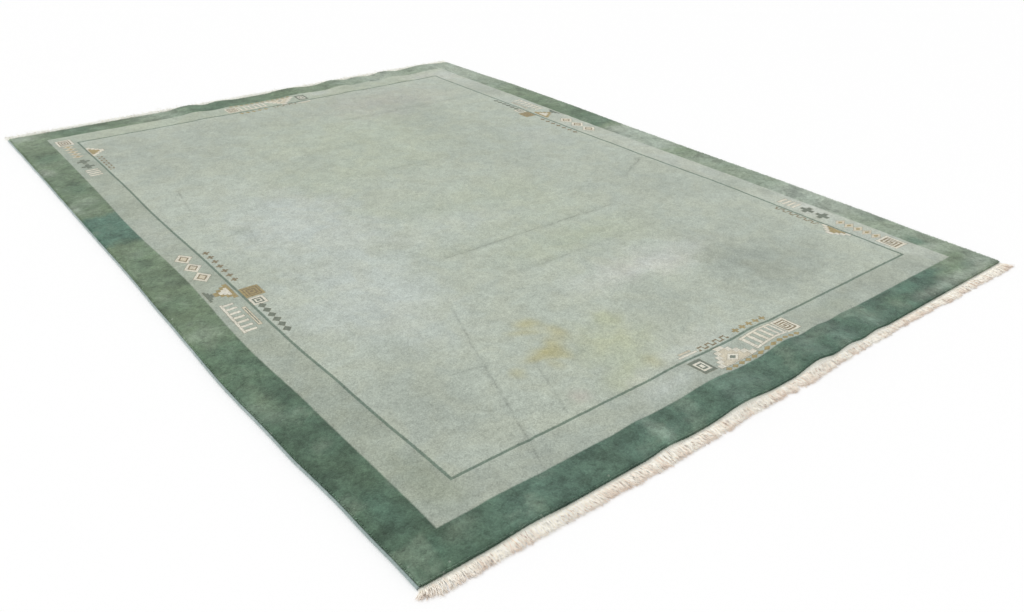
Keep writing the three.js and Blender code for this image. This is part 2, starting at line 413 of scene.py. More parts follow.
@dataclass(frozen=True)
class WearAndShade:
    """Where the wool has faded, stained, been dyed in another lot, or kept a fold, with painted shade and
    highlight in the folds, a painted highlight on the near ripples' crests, and painted sheen in the border's
    lots.

    Unevenness is read at places that are stretched or shifted, so that no two uses of it match.
    """

    clouds: tuple[Cloud, ...] = (
        Cloud(-0.60, 0.05, 0.26, 0.42, Wool.MIST, 0.85, 8),
        Cloud(-0.67, -0.60, 0.24, 0.36, Wool.MIST, 0.75),
        Cloud(-0.45, -0.30, 0.16, 0.30, Wool.MIST, 0.35),
        Cloud(0.06, -0.25, 0.44, 0.34, Wool.SAGE, 0.7),
        Cloud(0.15, -0.66, 0.36, 0.12, Wool.SAGE, 0.9),
        Cloud(0.12, 0.75, 0.66, 0.60, Wool.SAGE, 0.65),
        Cloud(-0.15, 0.42, 0.45, 0.20, Wool.SAGE, 0.4),
        Cloud(0.20, -0.95, 0.32, 0.10, Wool.CHALK, 0.75),
        Cloud(-0.10, -0.30, 0.30, 0.13, Wool.MIST, 0.45),
        Cloud(0.76, 0.30, 0.13, 0.15, Wool.MIST, 0.55),
        Cloud(-0.25, 0.60, 0.14, 0.14, Wool.PEWTER, 0.35),
        Cloud(0.06, -1.22, 0.22, 0.12, Wool.PEWTER, 0.28),
        Cloud(-0.10, -1.40, 0.20, 0.07, Wool.CHALK, 0.3),
        Cloud(0.58, -1.21, 0.26, 0.22, Wool.PEWTER, 0.85),
        Cloud(0.50, 1.20, 0.16, 0.12, Wool.PEWTER, 0.35),
        Cloud(0.76, -0.92, 0.12, 0.14, Wool.PEWTER, 0.35),
        Cloud(-0.76, -0.92, 0.10, 0.12, Wool.PEWTER, 0.3),
        Cloud(0.50, -0.98, 0.13, 0.28, Wool.PEWTER, 0.45),
        Cloud(-0.85, -1.22, 0.16, 0.24, Wool.PEWTER, 0.65),
        Cloud(-0.80, 1.10, 0.20, 0.42, Wool.PEWTER, 0.5),
        Cloud(-0.50, 0.98, 0.13, 0.32, Wool.PEWTER, 0.4),
        Cloud(0.50, 0.92, 0.14, 0.46, Wool.PEWTER, 0.55),
        Cloud(0.72, -0.45, 0.26, 0.34, Wool.PEWTER, 0.40),
        Cloud(0.60, 0.30, 0.32, 0.42, Wool.PEWTER, 0.32),
        Cloud(-0.10, 1.25, 0.75, 0.24, Wool.PEWTER, 0.3),
        Cloud(0.45, 1.20, 0.40, 0.24, Wool.BLUSH, 0.4),
        Cloud(-1.04, -1.44, 0.08, 0.16, Wool.DUSK, 0.7),
        Cloud(-1.06, -0.80, 0.06, 0.18, Wool.PEWTER, 0.35),
        Cloud(-1.05, 0.28, 0.06, 0.18, Wool.OYSTER, 0.5),
        Cloud(-0.79, 0.114, 0.035, 0.035, Wool.PEWTER, 0.6),
        Cloud(1.04, -0.66, 0.08, 0.10, Wool.DUSK, 0.45),
        Cloud(1.04, 1.06, 0.07, 0.14, Wool.PEWTER, 0.4),
        Cloud(1.03, 1.43, 0.08, 0.08, Wool.CHALK, 0.6),
        Cloud(0.92, 1.52, 0.14, 0.06, Wool.CHALK, 0.7),
        Cloud(-0.30, -1.52, 0.12, 0.05, Wool.MIST, 0.6),
        Cloud(0.44, -1.52, 0.12, 0.05, Wool.DUSK, 0.45),
        Cloud(1.03, -1.42, 0.06, 0.10, Wool.MIST, 0.5),
        Cloud(1.07, -1.02, 0.06, 0.12, Wool.CHALK, 0.5),
        Cloud(1.075, -0.80, 0.04, 0.05, Wool.PEWTER, 0.6),
        Cloud(0.27, 1.53, 0.09, 0.04, Wool.CHALK, 0.5),
        Cloud(-0.28, -1.250, 0.15, 0.12, Wool.OLIVE, 0.72),
        Cloud(-0.34, -1.40, 0.12, 0.06, Wool.OLIVE, 0.65, 20),
        Cloud(-0.244, -1.395, 0.03, 0.035, Wool.STAIN, 0.30),
        Cloud(-0.330, -1.440, 0.06, 0.025, Wool.CHALK, 0.35, 20),
        Cloud(-0.35, -1.33, 0.05, 0.04, Wool.SAGE, 0.5),
        Cloud(-0.17, -1.155, 0.055, 0.045, Wool.OLIVE, 0.75),
        Cloud(-0.52, -1.41, 0.035, 0.035, Wool.BLUSH, 0.6),
        Cloud(-0.392, -1.040, 0.048, 0.034, Wool.STAIN, 0.62, -31),
        Cloud(-0.430, -1.068, 0.060, 0.018, Wool.STAIN, 0.45, -31),
        Cloud(-0.352, -1.118, 0.030, 0.044, Wool.STAIN, 0.50),
        Cloud(-0.400, -1.155, 0.034, 0.034, Wool.STAIN, 0.50),
        Cloud(-0.443, -1.186, 0.052, 0.038, Wool.STAIN, 0.80),
        Cloud(-0.413, -1.221, 0.024, 0.030, Wool.STAIN, 0.42),
        Cloud(-0.497, -1.195, 0.044, 0.022, Wool.STAIN, 0.50),
        Cloud(-0.470, -1.250, 0.022, 0.032, Wool.STAIN, 0.32),
        Cloud(-0.576, -1.223, 0.026, 0.026, Wool.STAIN, 0.40),
    )
    border_clouds: tuple[Cloud, ...] = (
        Cloud(-1.18, 1.66, 0.07, 0.05, Wool.SILVER, 0.7),
        Cloud(-1.215, 1.14, 0.035, 0.06, Wool.SILVER, 0.75, 20),
        Cloud(-1.17, 1.31, 0.07, 0.08, Wool.FOREST, 0.8),
        Cloud(-1.16, 0.90, 0.06, 0.08, Wool.FOREST, 0.9),
        Cloud(-1.17, -0.28, 0.06, 0.08, Wool.FOREST, 0.6),
        Cloud(-1.18, 0.73, 0.06, 0.05, Wool.ASH, 0.6),
        Cloud(-1.225, 0.68, 0.02, 0.06, Wool.SILVER, 0.6, 15),
        Cloud(-1.18, -0.50, 0.05, 0.05, Wool.ASH, 0.55),
        Cloud(-1.14, -0.12, 0.04, 0.07, Wool.LEAF, 0.3),
        Cloud(-1.19, -0.92, 0.04, 0.09, Wool.LEAF, 0.55, 10),
        Cloud(-1.175, -1.34, 0.05, 0.12, Wool.FOREST, 0.6),
        Cloud(-1.18, -1.45, 0.04, 0.08, Wool.TEAL, 0.5),
        Cloud(-1.175, 0.29, 0.06, 0.035, Wool.MOSS, 0.4),
        Cloud(-1.175, 0.04, 0.06, 0.16, Wool.FOREST, 0.3),
        Cloud(1.165, 0.72, 0.06, 0.06, Wool.MOSS, 0.45),
        Cloud(1.165, 0.31, 0.06, 0.04, Wool.FOREST, 0.35),
        Cloud(1.165, -0.08, 0.06, 0.06, Wool.ASH, 0.3),
        Cloud(1.165, -0.51, 0.06, 0.05, Wool.MOSS, 0.3),
        Cloud(1.165, -0.93, 0.06, 0.07, Wool.SILVER, 0.9),
        Cloud(-0.47, -1.63, 0.022, 0.06, Wool.FROST, 0.4, 8),
        Cloud(-1.165, -1.61, 0.06, 0.05, Wool.DEEP, 0.7),
        Cloud(-1.155, -1.62, 0.06, 0.045, Wool.TEAL, 0.6),
        Cloud(-0.10, -1.63, 0.07, 0.04, Wool.FROST, 0.2),
        Cloud(-1.07, -1.61, 0.05, 0.035, Wool.ASH, 0.30, 15),
        Cloud(0.24, -1.61, 0.12, 0.025, Wool.ASH, 0.3, 6),
        Cloud(0.50, -1.65, 0.07, 0.025, Wool.ASH, 0.12),
        Cloud(0.66, -1.64, 0.09, 0.04, Wool.FOREST, 0.6),
        Cloud(0.76, -1.61, 0.08, 0.03, Wool.TEAL, 0.8),
        Cloud(0.92, -1.605, 0.08, 0.03, Wool.TEAL, 0.9),
        Cloud(0.80, -1.68, 0.10, 0.030, Wool.SILVER, 0.6),
        Cloud(0.97, -1.68, 0.14, 0.035, Wool.SILVER, 0.75),
        Cloud(1.15, -1.67, 0.11, 0.045, Wool.SILVER, 0.8),
        Cloud(1.13, -1.585, 0.06, 0.030, Wool.MOSS, 0.7),
        Cloud(1.09, -1.64, 0.05, 0.025, Wool.FROST, 0.5),
        Cloud(1.13, -1.49, 0.05, 0.030, Wool.SILVER, 0.7),
        Cloud(1.125, -1.43, 0.04, 0.045, Wool.TEAL, 0.9),
    )
    band_left: Wool = Wool.FLINT
    band_right: Wool = Wool.OYSTER
    band_near: Wool = Wool.PEWTER
    band_far: Wool = Wool.SAGE
    creases: tuple[Crease, ...] = (
        Crease((-0.39, 0.94), (-0.39, -0.57), 0.026, 0.0016, 0.045),
        Crease((-0.39, -0.514), (0.52, -0.514), 0.024, 0.0024, 0.10, 0.17, 0.03),
        Crease((-0.20, -0.742), (0.52, -0.742), 0.024, 0.0020, 0.07, 0.08, 0.02),
        Crease((0.09, 1.034), (0.95, 1.034), 0.030, 0.0018, 0.07, 0.06),
        Crease((-0.22, 0.70), (0.33, 0.70), 0.034, 0.0022, 0.07, 0.0, 0.06),
        Crease((-0.20, 0.33), (0.38, 0.33), 0.026, 0.0016, 0.06, 0.05),
        Crease((0.69, -0.346), (0.966, -0.20), 0.022, 0.0022, 0.09, 0.15, 0.03),
        Crease((0.46, 0.19), (0.46, -0.14), 0.034, 0.0014, 0.06),
        Crease((0.46, -0.91), (0.46, -1.27), 0.040, 0.0014, 0.07),
        Crease((-0.49, -0.76), (-0.80, -1.60), 0.020, 0.0018, 0.06, 0.19),
        Crease((-0.49, -1.17), (-0.605, -1.46), 0.020, 0.0016, 0.06, 0.15),
        Crease((-0.74, -1.11), (-0.60, -1.14), 0.016, 0.0012, 0.05, 0.12),
        Crease((-0.73, 0.19), (-0.79, -0.02), 0.018, 0.0014, 0.05, 0.10),
        Crease((-0.827, 0.65), (-0.87, 0.36), 0.018, 0.0014, 0.05, 0.10),
    )
    # each side's dye lots, with a painted sheen in them: darkest at the near left, paler to the right and far
    left_lots_and_sheen: tuple[tuple[float, Wool], ...] = (
        (-1.70, Wool.DEEP), (-1.00, Wool.DEEP), (-0.62, Wool.FOREST), (-0.52, Wool.MOSS),
        (0.24, Wool.MOSS), (0.29, Wool.TEAL), (0.53, Wool.TEAL), (0.58, Wool.MOSS), (1.36, Wool.MOSS),
        (1.60, Wool.LEAF),
    )
    right_lots_and_sheen: tuple[tuple[float, Wool], ...] = (
        (-1.60, Wool.ASH), (-1.25, Wool.ASH), (-1.06, Wool.SILVER), (-0.86, Wool.SILVER),
        (-0.72, Wool.ASH), (-0.36, Wool.ASH), (-0.26, Wool.LEAF), (-0.14, Wool.SILVER),
        (0.16, Wool.SILVER), (0.22, Wool.LEAF), (0.27, Wool.FOREST), (0.72, Wool.MOSS), (0.96, Wool.LEAF),
        (1.16, Wool.ASH), (1.40, Wool.SILVER),
    )
    near_lots_and_sheen: tuple[tuple[float, Wool], ...] = (
        (-1.15, Wool.DEEP), (-0.90, Wool.SPRUCE), (0.85, Wool.SPRUCE), (1.00, Wool.MOSS),
        (1.20, Wool.LEAF),
    )
    far_lots_and_sheen: tuple[tuple[float, Wool], ...] = (
        (-1.15, Wool.LEAF), (-0.94, Wool.FOREST), (-0.80, Wool.MOSS), (-0.52, Wool.ASH),
        (-0.36, Wool.FOREST), (-0.24, Wool.FOREST), (0.12, Wool.MOSS), (0.30, Wool.LEAF),
        (0.50, Wool.ASH), (0.72, Wool.SILVER), (0.90, Wool.ASH), (1.12, Wool.SILVER),
    )
    corner_blend: float = 0.10
    band_strength: float = 0.6
    band_unevenness: float = 0.2
    mottle: float = 0.030
    band_mottle: float = 1.5
    lot_sway: float = 12 * MM
    pale_crests: tuple[float, ...] = (-0.47, -0.19, 0.28, 0.46)
    crest_half_width: float = 45 * MM
    crest_fade: tuple[float, float] = (-1.66, -1.60)
    crest_left: float = 0.35
    crest_strength: float = 0.6
    brushed_pale: float = 0.30
    brushed_dark: float = 0.27
    small_nap: float = 0.07
    wide_nap: float = 0.04
    wander: float = 60 * MM
    groove_depth: float = 2.6 * MM
    groove_half_width: float = 8.5 * MM
    seam_depth: float = 0.8 * MM
    seam_half_width: float = 8 * MM
    wide_swell: float = 0.7 * MM
    small_swell: float = 0.6 * MM
    beside_height: float = 0.4
    crest_offset: float = 1.3
    break_mean: float = 0.75
    break_sway: float = 0.6
    break_range: tuple[float, float] = (0.15, 1.2)
    wobble: Lumps = Lumps(11, 0.16)
    small: Lumps = Lumps(12, 0.05)
    streaks: Lumps = Lumps(13, 0.09, 4)
    crease_breaks: Lumps = Lumps(14, 0.12, 2)

    def ground(self, layout: Layout, u: Array, v: Array) -> Array:
        """Tone of the pale wool at each place, linear, with painted shade and highlight along the folds.

        Args:
            layout: How the rug lies.
            u: Places across the drawing.
            v: Places along the drawing.

        Returns:
            One colour for each place.
        """
        tone = np.broadcast_to(linear(Wool.FIELD.value), (*np.shape(u), 3)).copy()
        band = layout.past_line(u, v) > 0
        left_and_right = [linear(wool.value) for wool in (self.band_left, self.band_right)]
        near_and_far = [linear(wool.value) for wool in (self.band_near, self.band_far)]
        side_tone = eased(u, (-0.3, 0.3), left_and_right)
        end_tone = eased(v, (-0.5, 0.5), near_and_far)
        past = np.abs(v) - layout.line_v - np.abs(u) + layout.line_u
        band_tone = blend(side_tone, end_tone, eased(past, (-self.corner_blend, self.corner_blend), (0, 1)))
        strength = self.band_strength + self.band_unevenness * self.wobble(v, u)
        tone = blend(tone, band_tone, np.where(band, strength, 0))
        tone = self._clouded(tone, self.clouds, u, v)
        mottle = self.mottle * (self.small(u, v) + self.wobble(u * 1.7, v * 0.8 + 2))
        mottle = mottle * np.where(band, self.band_mottle, 1.0)
        # the folds bring painted shade into their troughs and a painted highlight beside them
        return tone * (1 + mottle[..., None]) * self._fold_shading(u, v)[..., None]

    def border(self, layout: Layout, u: Array, v: Array) -> Array:
        """Tone of the dark border at each place, linear, in its dye lots from row to row, with a painted
        sheen worked into the lots: darkest at the near left, paler to the right and far.

        Args:
            layout: How the rug lies.
            u: Places across the drawing.
            v: Places along the drawing.

        Returns:
            One colour for each place.
        """
        sway = self.lot_sway * self.small(u * 3, v)
        rows = (self.left_lots_and_sheen, v), (self.right_lots_and_sheen, v), (self.near_lots_and_sheen, u), (self.far_lots_and_sheen, u)
        left, right, near, far = (self._lot_and_sheen(lots_and_sheen, place + sway) for lots_and_sheen, place in rows)
        past = np.abs(v) - layout.border_v - np.abs(u) + layout.border_u
        side_tone = np.where((u < 0)[..., None], left, right)
        end_tone = np.where((v < 0)[..., None], near, far)
        is_end = eased(past, (-self.corner_blend, self.corner_blend), (0, 1))
        tone = self._clouded(blend(side_tone, end_tone, is_end), self.border_clouds, u, v)
        # painted highlight: the near ripples' crests blended towards a pale wool
        tone = blend(tone, linear(Wool.FROST.value), self._crest_highlights(layout, u, v))
        brushed = self.streaks(u * 1.3 + 7, v * 1.3)
        tone = blend(tone, linear(Wool.ASH.value), self.brushed_pale * eased(brushed, (0.15, 1.0), (0, 1)))
        full = 1 - self.brushed_dark * eased(-brushed, (0.1, 1.0), (0, 1))
        nap = self.small_nap * self.small(u, v) + self.wide_nap * self.wobble(u * 2, v * 2)
        return tone * (full * (1 + nap))[..., None]

    def _crest_highlights(self, layout: Layout, u: Array, v: Array) -> Array:
        """How much paler the near border is on the crests of its ripples: partly worn nap, partly a painted
        highlight where the crests face the light.
        """
        near = eased(v, self.crest_fade, (1, self.crest_left))
        crest_highlight = sum(hump((u - place) / self.crest_half_width) for place in self.pale_crests)
        crest_highlight = crest_highlight * near * (v < -layout.border_v) * (0.6 + 0.4 * self.small(u * 2, v))
        return np.clip(self.crest_strength * crest_highlight, 0, 1)

    def _clouded(self, tone: Array, clouds: Sequence[Cloud], u: Array, v: Array) -> Array:
        """A tone with clouds over it, their edges loosened.

        Args:
            tone: The tone under them.
            clouds: The clouds, the lowest first.
            u: Places across the drawing.
            v: Places along the drawing.

        Returns:
            One colour for each place.
        """
        wander_u = self.wobble(u, v) + 0.7 * self.small(u * 1.6, v * 1.6)
        wander_v = self.wobble(v + 3, u + 5) + 0.7 * self.small(v * 1.6 + 3, u * 1.6)
        for cloud in clouds:
            loose = self.wander * min(1.0, cloud.across / 0.2, cloud.along / 0.2)
            share = cloud.share(u + wander_u * loose, v + wander_v * loose)
            tone = blend(tone, linear(cloud.tone.value), share)
        return tone

    def relief(self, layout: Layout, u: Array, v: Array) -> Array:
        """How far the pile's top stands above or below its even height."""
        groove = self.groove_depth * hump(layout.past_line(u, v) / self.groove_half_width)
        seam = self.seam_depth * hump(layout.past_border(u, v) / self.seam_half_width)
        total = self.wide_swell * self.wobble(u, v) + self.small_swell * self.small(u, v) - groove - seam
        for crease in self.creases:
            off, share = crease.across_and_along(u, v)
            trough = hump(off / crease.width) * share * self._breaks(u, v)
            beside = hump((off - crease.width) / crease.width) * share
            total += crease.depth * (self.beside_height * beside - trough)
        return total

    def _breaks(self, u: Array, v: Array) -> Array:
        """How strongly a crease shows along its run: it comes and goes."""
        return np.clip(self.break_mean + self.break_sway * self.crease_breaks(u, v), *self.break_range)

    def _fold_shading(self, u: Array, v: Array) -> Array:
        """Brightness along the folds, 1 away from them: painted shade in each trough, a painted highlight
        beside it.
        """
        bright = np.ones(np.shape(u))
        for crease in self.creases:
            off, share = crease.across_and_along(u, v)
            share = share * self._breaks(u, v)
            bright -= crease.dark * hump(off / crease.width) * share
            bright += crease.crest_highlight * hump(off / crease.width + self.crest_offset) * share
        return bright

    @staticmethod
    def _lot_and_sheen(rows: Sequence[tuple[float, Wool]], place: Array) -> Array:
        """The border's tone along one side, from its rows of dye lots with painted sheen."""
        return eased(place, [row[0] for row in rows], [linear(row[1].value) for row in rows])


class Graph:
    """Builds a material's nodes from short calls."""

    LOW_COLOUR = 6
    HIGH_COLOUR = 7
    MIXED_COLOUR = 2

    def __init__(self, name: str) -> None:
        """Starts an empty material.

        Args:
            name: The material's name.
        """
        self.material = bpy.data.materials.new(name)
        self.material.use_nodes = True
        self.tree = self.material.node_tree
        self.tree.nodes.clear()

    def node(self, kind: str, inputs: dict[str | int, Value | Sequence[float]], **settings) -> bpy.types.Node:
        """Adds a node.

        Args:
            kind: The node's type.
            inputs: Numbers, colours or sockets for its inputs, by name or place.
            **settings: Values for the node's own properties.

        Returns:
            The new node.
        """
        made = self.tree.nodes.new(kind)
        for name, value in settings.items():
            setattr(made, name, value)
        for key, value in inputs.items():
            if isinstance(value, Socket):
                self.tree.links.new(value, made.inputs[key])
            else:
                made.inputs[key].default_value = value
        return made

    def math(self, operation: str, first: Value, second: Value = 0.0, third: Value = 0.0) -> Socket:
        """One sum, product or the like of up to three numbers."""
        made = self.node("ShaderNodeMath", {0: first, 1: second, 2: third}, operation=operation)
        return made.outputs[0]

    def times(self, first: Value, second: Value) -> Socket:
        """The product of two numbers."""
        return self.math("MULTIPLY", first, second)

    def total(self, *terms: Value) -> Socket:
        """The sum of several numbers."""
        result = terms[0]
        for term in terms[1:]:
            result = self.math("ADD", result, term)
        return result

    def vector(self, operation: str, first: Socket, second: Value | Sequence[float]) -> Socket:
        """One sum, product or the like of two vectors."""
        inputs = {3: second} if operation == "SCALE" else {1: second}
        return self.node("ShaderNodeVectorMath", {0: first, **inputs}, operation=operation).outputs[0]

    def dot(self, first: Socket, second: Sequence[float]) -> Socket:
        """How far one vector goes the way of another."""
        made = self.node("ShaderNodeVectorMath", {0: first, 1: second}, operation="DOT_PRODUCT")
        return made.outputs["Value"]

    def split(self, vector: Socket) -> tuple[Socket, Socket, Socket]:
        """A vector's three parts."""
        return tuple(self.node("ShaderNodeSeparateXYZ", {0: vector}).outputs)

    def ease(self, value: Value, low: float, high: float, start: float = 0.0, stop: float = 1.0) -> Socket:
        """A value eased from start to stop as it goes from low to high."""
        inputs = {"Value": value, "From Min": low, "From Max": high, "To Min": start, "To Max": stop}
        return self.node("ShaderNodeMapRange", inputs, interpolation_type="SMOOTHSTEP").outputs[0]

    def mix(self, share: Value, low: Value | Colour, high: Value | Colour) -> Socket:
        """Two colours mixed by a share.

        Args:
            share: How much of the second colour shows.
            low: The first colour.
            high: The second colour.

        Returns:
            The mixed colour.
        """
        low, high = ((*c, 1.0) if isinstance(c, tuple) else c for c in (low, high))
        inputs = {0: share, self.LOW_COLOUR: low, self.HIGH_COLOUR: high}
        return self.node("ShaderNodeMix", inputs, data_type="RGBA").outputs[self.MIXED_COLOUR]

    def tint(self, colour: Socket, brightness: Socket) -> Socket:
        """A colour made brighter or darker by a number."""
        return self.vector("SCALE", colour, brightness)

    def noise(
        self, place: Socket, size: float, detail: float = 2.0, roughness: float = 0.5, stir: float = 0.0
    ) -> Socket:
        """Soft noise.

        Args:
            place: Where it is read.
            size: About how wide its blotches are.
            detail: How many finer layers it has.
            roughness: How strong those are.
            stir: How far the blotches are drawn out of shape.

        Returns:
            A number from 0 to 1, mostly near 0.5.
        """
        inputs = {"Vector": place, "Scale": 1 / size, "Detail": detail, "Roughness": roughness}
        return self.node("ShaderNodeTexNoise", {**inputs, "Distortion": stir}).outputs[0]

    def around(self, value: Socket, amount: Value) -> Socket:
        """What a number from 0 to 1 adds to a brightness: nothing at 0.5 and up to half the amount."""
        return self.times(self.math("SUBTRACT", value, 0.5), amount)

    def cells(self, place: Socket, size: float, loose: float = 1.0) -> tuple[Socket, Socket]:
        """Cells of about the given size: the distance from each cell's middle and its own colour."""
        inputs = {"Vector": place, "Scale": 1 / size, "Randomness": loose}
        made = self.node("ShaderNodeTexVoronoi", inputs)
        return made.outputs["Distance"], made.outputs["Color"]

    def attribute(self, name: str) -> Socket:
        """The colour that the mesh has at each point."""
        return self.node("ShaderNodeAttribute", {}, attribute_name=name).outputs["Color"]

    def place(self) -> Socket:
        """Where the point is in the rug's frame."""
        return self.node("ShaderNodeTexCoord", {}).outputs["Object"]

    def drawing(self) -> Socket:
        """Where the point is in the rug's drawing."""
        return self.node("ShaderNodeUVMap", {}, uv_map=DESIGN_UV).outputs[0]

    def past(self, u: Socket, v: Socket, edge_u: float, edge_v: float) -> Socket:
        """How far a place lies outside a rectangle round the drawing's middle."""
        reach = (self.math("ABSOLUTE", u), edge_u), (self.math("ABSOLUTE", v), edge_v)
        return self.math("MAXIMUM", *(self.math("SUBTRACT", far, edge) for far, edge in reach))

    def bump(self, height: Socket, depth: float, strength: float = 1.0) -> Socket:
        """A surface normal tilted by a height from 0 to 1 that is depth metres high."""
        inputs = {"Strength": strength, "Distance": depth, "Height": height}
        return self.node("ShaderNodeBump", inputs).outputs[0]

    def finish(self, colour: Socket, normal: Socket, **constants: float | Colour) -> Material:
        """Ends the material in a cloth shader.

        Args:
            colour: The base colour.
            normal: The tilted normal.
            **constants: Values set on the shader's own sockets, with _ for a space.

        Returns:
            The material.
        """
        inputs = {"Base Color": colour, "Normal": normal}
        shader = self.node("ShaderNodeBsdfPrincipled", inputs)
        for name, value in constants.items():
            socket = shader.inputs[name.replace("_", " ")]
            socket.default_value = (*value, 1.0) if isinstance(value, tuple) else value
        self.node("ShaderNodeOutputMaterial", {"Surface": shader.outputs[0]})
        return self.material


@dataclass(frozen=True)
class Figure:
    """One small figure of an ornament, or a row of them, drawn in a single yarn.

    Along and across are its middle, counted from the ornament's own origin: along the carved line,
    and across it towards the middle of the rug.
    """

    yarn: Yarn
    along: float
    across: float
    half_along: float
    half_across: float
    count: int = 1
    pitch: float = 0.0
    edge: float = 0.0

    def mask(self, graph: Graph, along: Socket, across: Socket, grown: float = 0.0) -> Socket:
        """Where the figure's yarn shows.

        Args:
            graph: The material that the figure is drawn in.
            along: Each point's place along the ornament.
            across: Each point's place across it.
            grown: How far the figure is grown all round.

        Returns:
            1 on the figure and 0 off it.
        """
        off = graph.math("SUBTRACT", along, self.along)
        half_along, half_across = self.half_along + grown, self.half_across + grown
        half_row = half_along + self.pitch * (self.count - 1) / 2
        within = graph.math("LESS_THAN", graph.math("ABSOLUTE", off), half_row)
        if self.count > 1:
            turn = 0.0 if self.count % 2 else self.pitch / 2
            off = graph.math("WRAP", graph.math("ADD", off, turn), self.pitch / 2, -self.pitch / 2)
        a = graph.math("DIVIDE", off, half_along)
        b = graph.math("DIVIDE", graph.math("SUBTRACT", across, self.across), half_across)
        return graph.times(within, self.shape(graph, a, b))

    def shape(self, graph: Graph, a: Socket, b: Socket) -> Socket:
        """The figure itself, a bar, in measures where it reaches from -1 to 1 both ways."""
        return self._below(graph, self._larger(graph, a, b), 1.0)

    @staticmethod
    def _larger(graph: Graph, a: Socket, b: Socket) -> Socket:
        """The larger of two measures, whatever their signs."""
        return graph.math("MAXIMUM", graph.math("ABSOLUTE", a), graph.math("ABSOLUTE", b))

    @staticmethod
    def _below(graph: Graph, value: Socket, limit: Value) -> Socket:
        """1 where a value is below a limit."""
        return graph.math("LESS_THAN", value, limit)


@dataclass(frozen=True)
class NestedSquares(Figure):
    """Squares inside each other."""

    rings: float = 2.5
    thick: float = 0.55

    def shape(self, graph: Graph, a: Socket, b: Socket) -> Socket:
        """Every other ring of the square."""
        reach = self._larger(graph, a, b)
        ring = graph.math("FRACT", graph.times(reach, self.rings))
        shown = self._below(graph, ring, self.thick)
        return graph.times(shown, self._below(graph, reach, 1.0))


@dataclass(frozen=True)
class Lozenge(Figure):
    """A diamond."""

    def shape(self, graph: Graph, a: Socket, b: Socket) -> Socket:
        """The diamond itself."""
        reach = graph.math("ADD", graph.math("ABSOLUTE", a), graph.math("ABSOLUTE", b))
        return self._below(graph, reach, 1.0)


@dataclass(frozen=True)
class Cross(Figure):
    """A plain cross with four equal arms."""

    arm: float = 0.34

    def shape(self, graph: Graph, a: Socket, b: Socket) -> Socket:
        """Both bars of the cross."""
        slim = graph.math("MINIMUM", graph.math("ABSOLUTE", a), graph.math("ABSOLUTE", b))
        return graph.math(
            "MULTIPLY", self._below(graph, slim, self.arm), self._below(graph, self._larger(graph, a, b), 1.0)
        )


@dataclass(frozen=True)
class Steps(Figure):
    """A stepped pyramid that narrows towards the middle of the rug, or away from it."""

    steps: int = 4
    flipped: bool = False

    def shape(self, graph: Graph, a: Socket, b: Socket) -> Socket:
        """The pyramid, as rows of bars."""
        rise = graph.math("MULTIPLY_ADD", b, -0.5 if self.flipped else 0.5, 0.5)
        level = graph.math("FLOOR", graph.times(rise, self.steps))
        width = graph.math("MULTIPLY_ADD", level, -1.0 / self.steps, 1.0)
        inside = self._below(graph, graph.math("ABSOLUTE", a), width)
        return graph.times(inside, self._below(graph, graph.math("ABSOLUTE", b), 1.0))


@dataclass(frozen=True)
class Battlement(Figure):
    """A crenellated line: a thin line that steps up and down in each pitch."""

    thick: float = 0.3
    post: float = 0.12

    def shape(self, graph: Graph, a: Socket, b: Socket) -> Socket:
        """The line on its upper run, its lower run and the two rises between them."""
        upper = self._below(graph, graph.math("ABSOLUTE", a), 0.5)
        level = graph.math("MULTIPLY_ADD", upper, 2 * (1 - self.thick), self.thick - 1)
        run = self._below(graph, graph.math("ABSOLUTE", graph.math("SUBTRACT", b, level)), self.thick)
        edge = graph.math("ABSOLUTE", graph.math("SUBTRACT", graph.math("ABSOLUTE", a), 0.5))
        inside = self._below(graph, graph.math("ABSOLUTE", b), 1.0)
        rise = graph.times(self._below(graph, edge, self.post), inside)
        return graph.math("MAXIMUM", run, rise)


END_FIGURES = (
    Lozenge(Yarn.OCHRE, 0.035, -0.101, 0.0125, 0.0080, 12, 0.0285, edge=1.5 * MM),
    Steps(Yarn.CREAM, -0.060, -0.046, 0.080, 0.044, edge=2.2 * MM, steps=5),
    Steps(Yarn.PEACH, -0.060, -0.054, 0.055, 0.032, edge=1.8 * MM, steps=4),
    Lozenge(Yarn.CREAM, -0.060, -0.064, 0.026, 0.019, edge=1.6 * MM),
    Lozenge(Yarn.SLATE, -0.060, -0.064, 0.013, 0.010),
    Figure(Yarn.CREAM, 0.100, -0.049, 0.0055, 0.029, 6, 0.026, edge=1.4 * MM),
    Figure(Yarn.CREAM, 0.100, -0.080, 0.072, 0.0040, edge=1.2 * MM),
    Figure(Yarn.CREAM, 0.100, -0.018, 0.072, 0.0040, edge=1.2 * MM),
    Figure(Yarn.CREAM, 0.207, -0.049, 0.030, 0.036, edge=1.6 * MM),
    NestedSquares(Yarn.BROWN, 0.207, -0.049, 0.026, 0.031, rings=2.9),
    Figure(Yarn.SLATE, -0.176, -0.049, 0.026, 0.034, edge=1.2 * MM),
    NestedSquares(Yarn.CREAM, -0.176, -0.049, 0.021, 0.028, rings=1.9),
    Cross(Yarn.OCHRE, 0.122, 0.022, 0.012, 0.011, 5, 0.032, edge=1.4 * MM),
    Battlement(Yarn.BROWN, -0.050, 0.020, 0.0165, 0.0105, 4, 0.033),
    Figure(Yarn.CREAM, -0.160, 0.018, 0.038, 0.0040, edge=1.2 * MM),
    Figure(Yarn.PEACH, -0.160, 0.031, 0.024, 0.0040, edge=1.2 * MM),
)
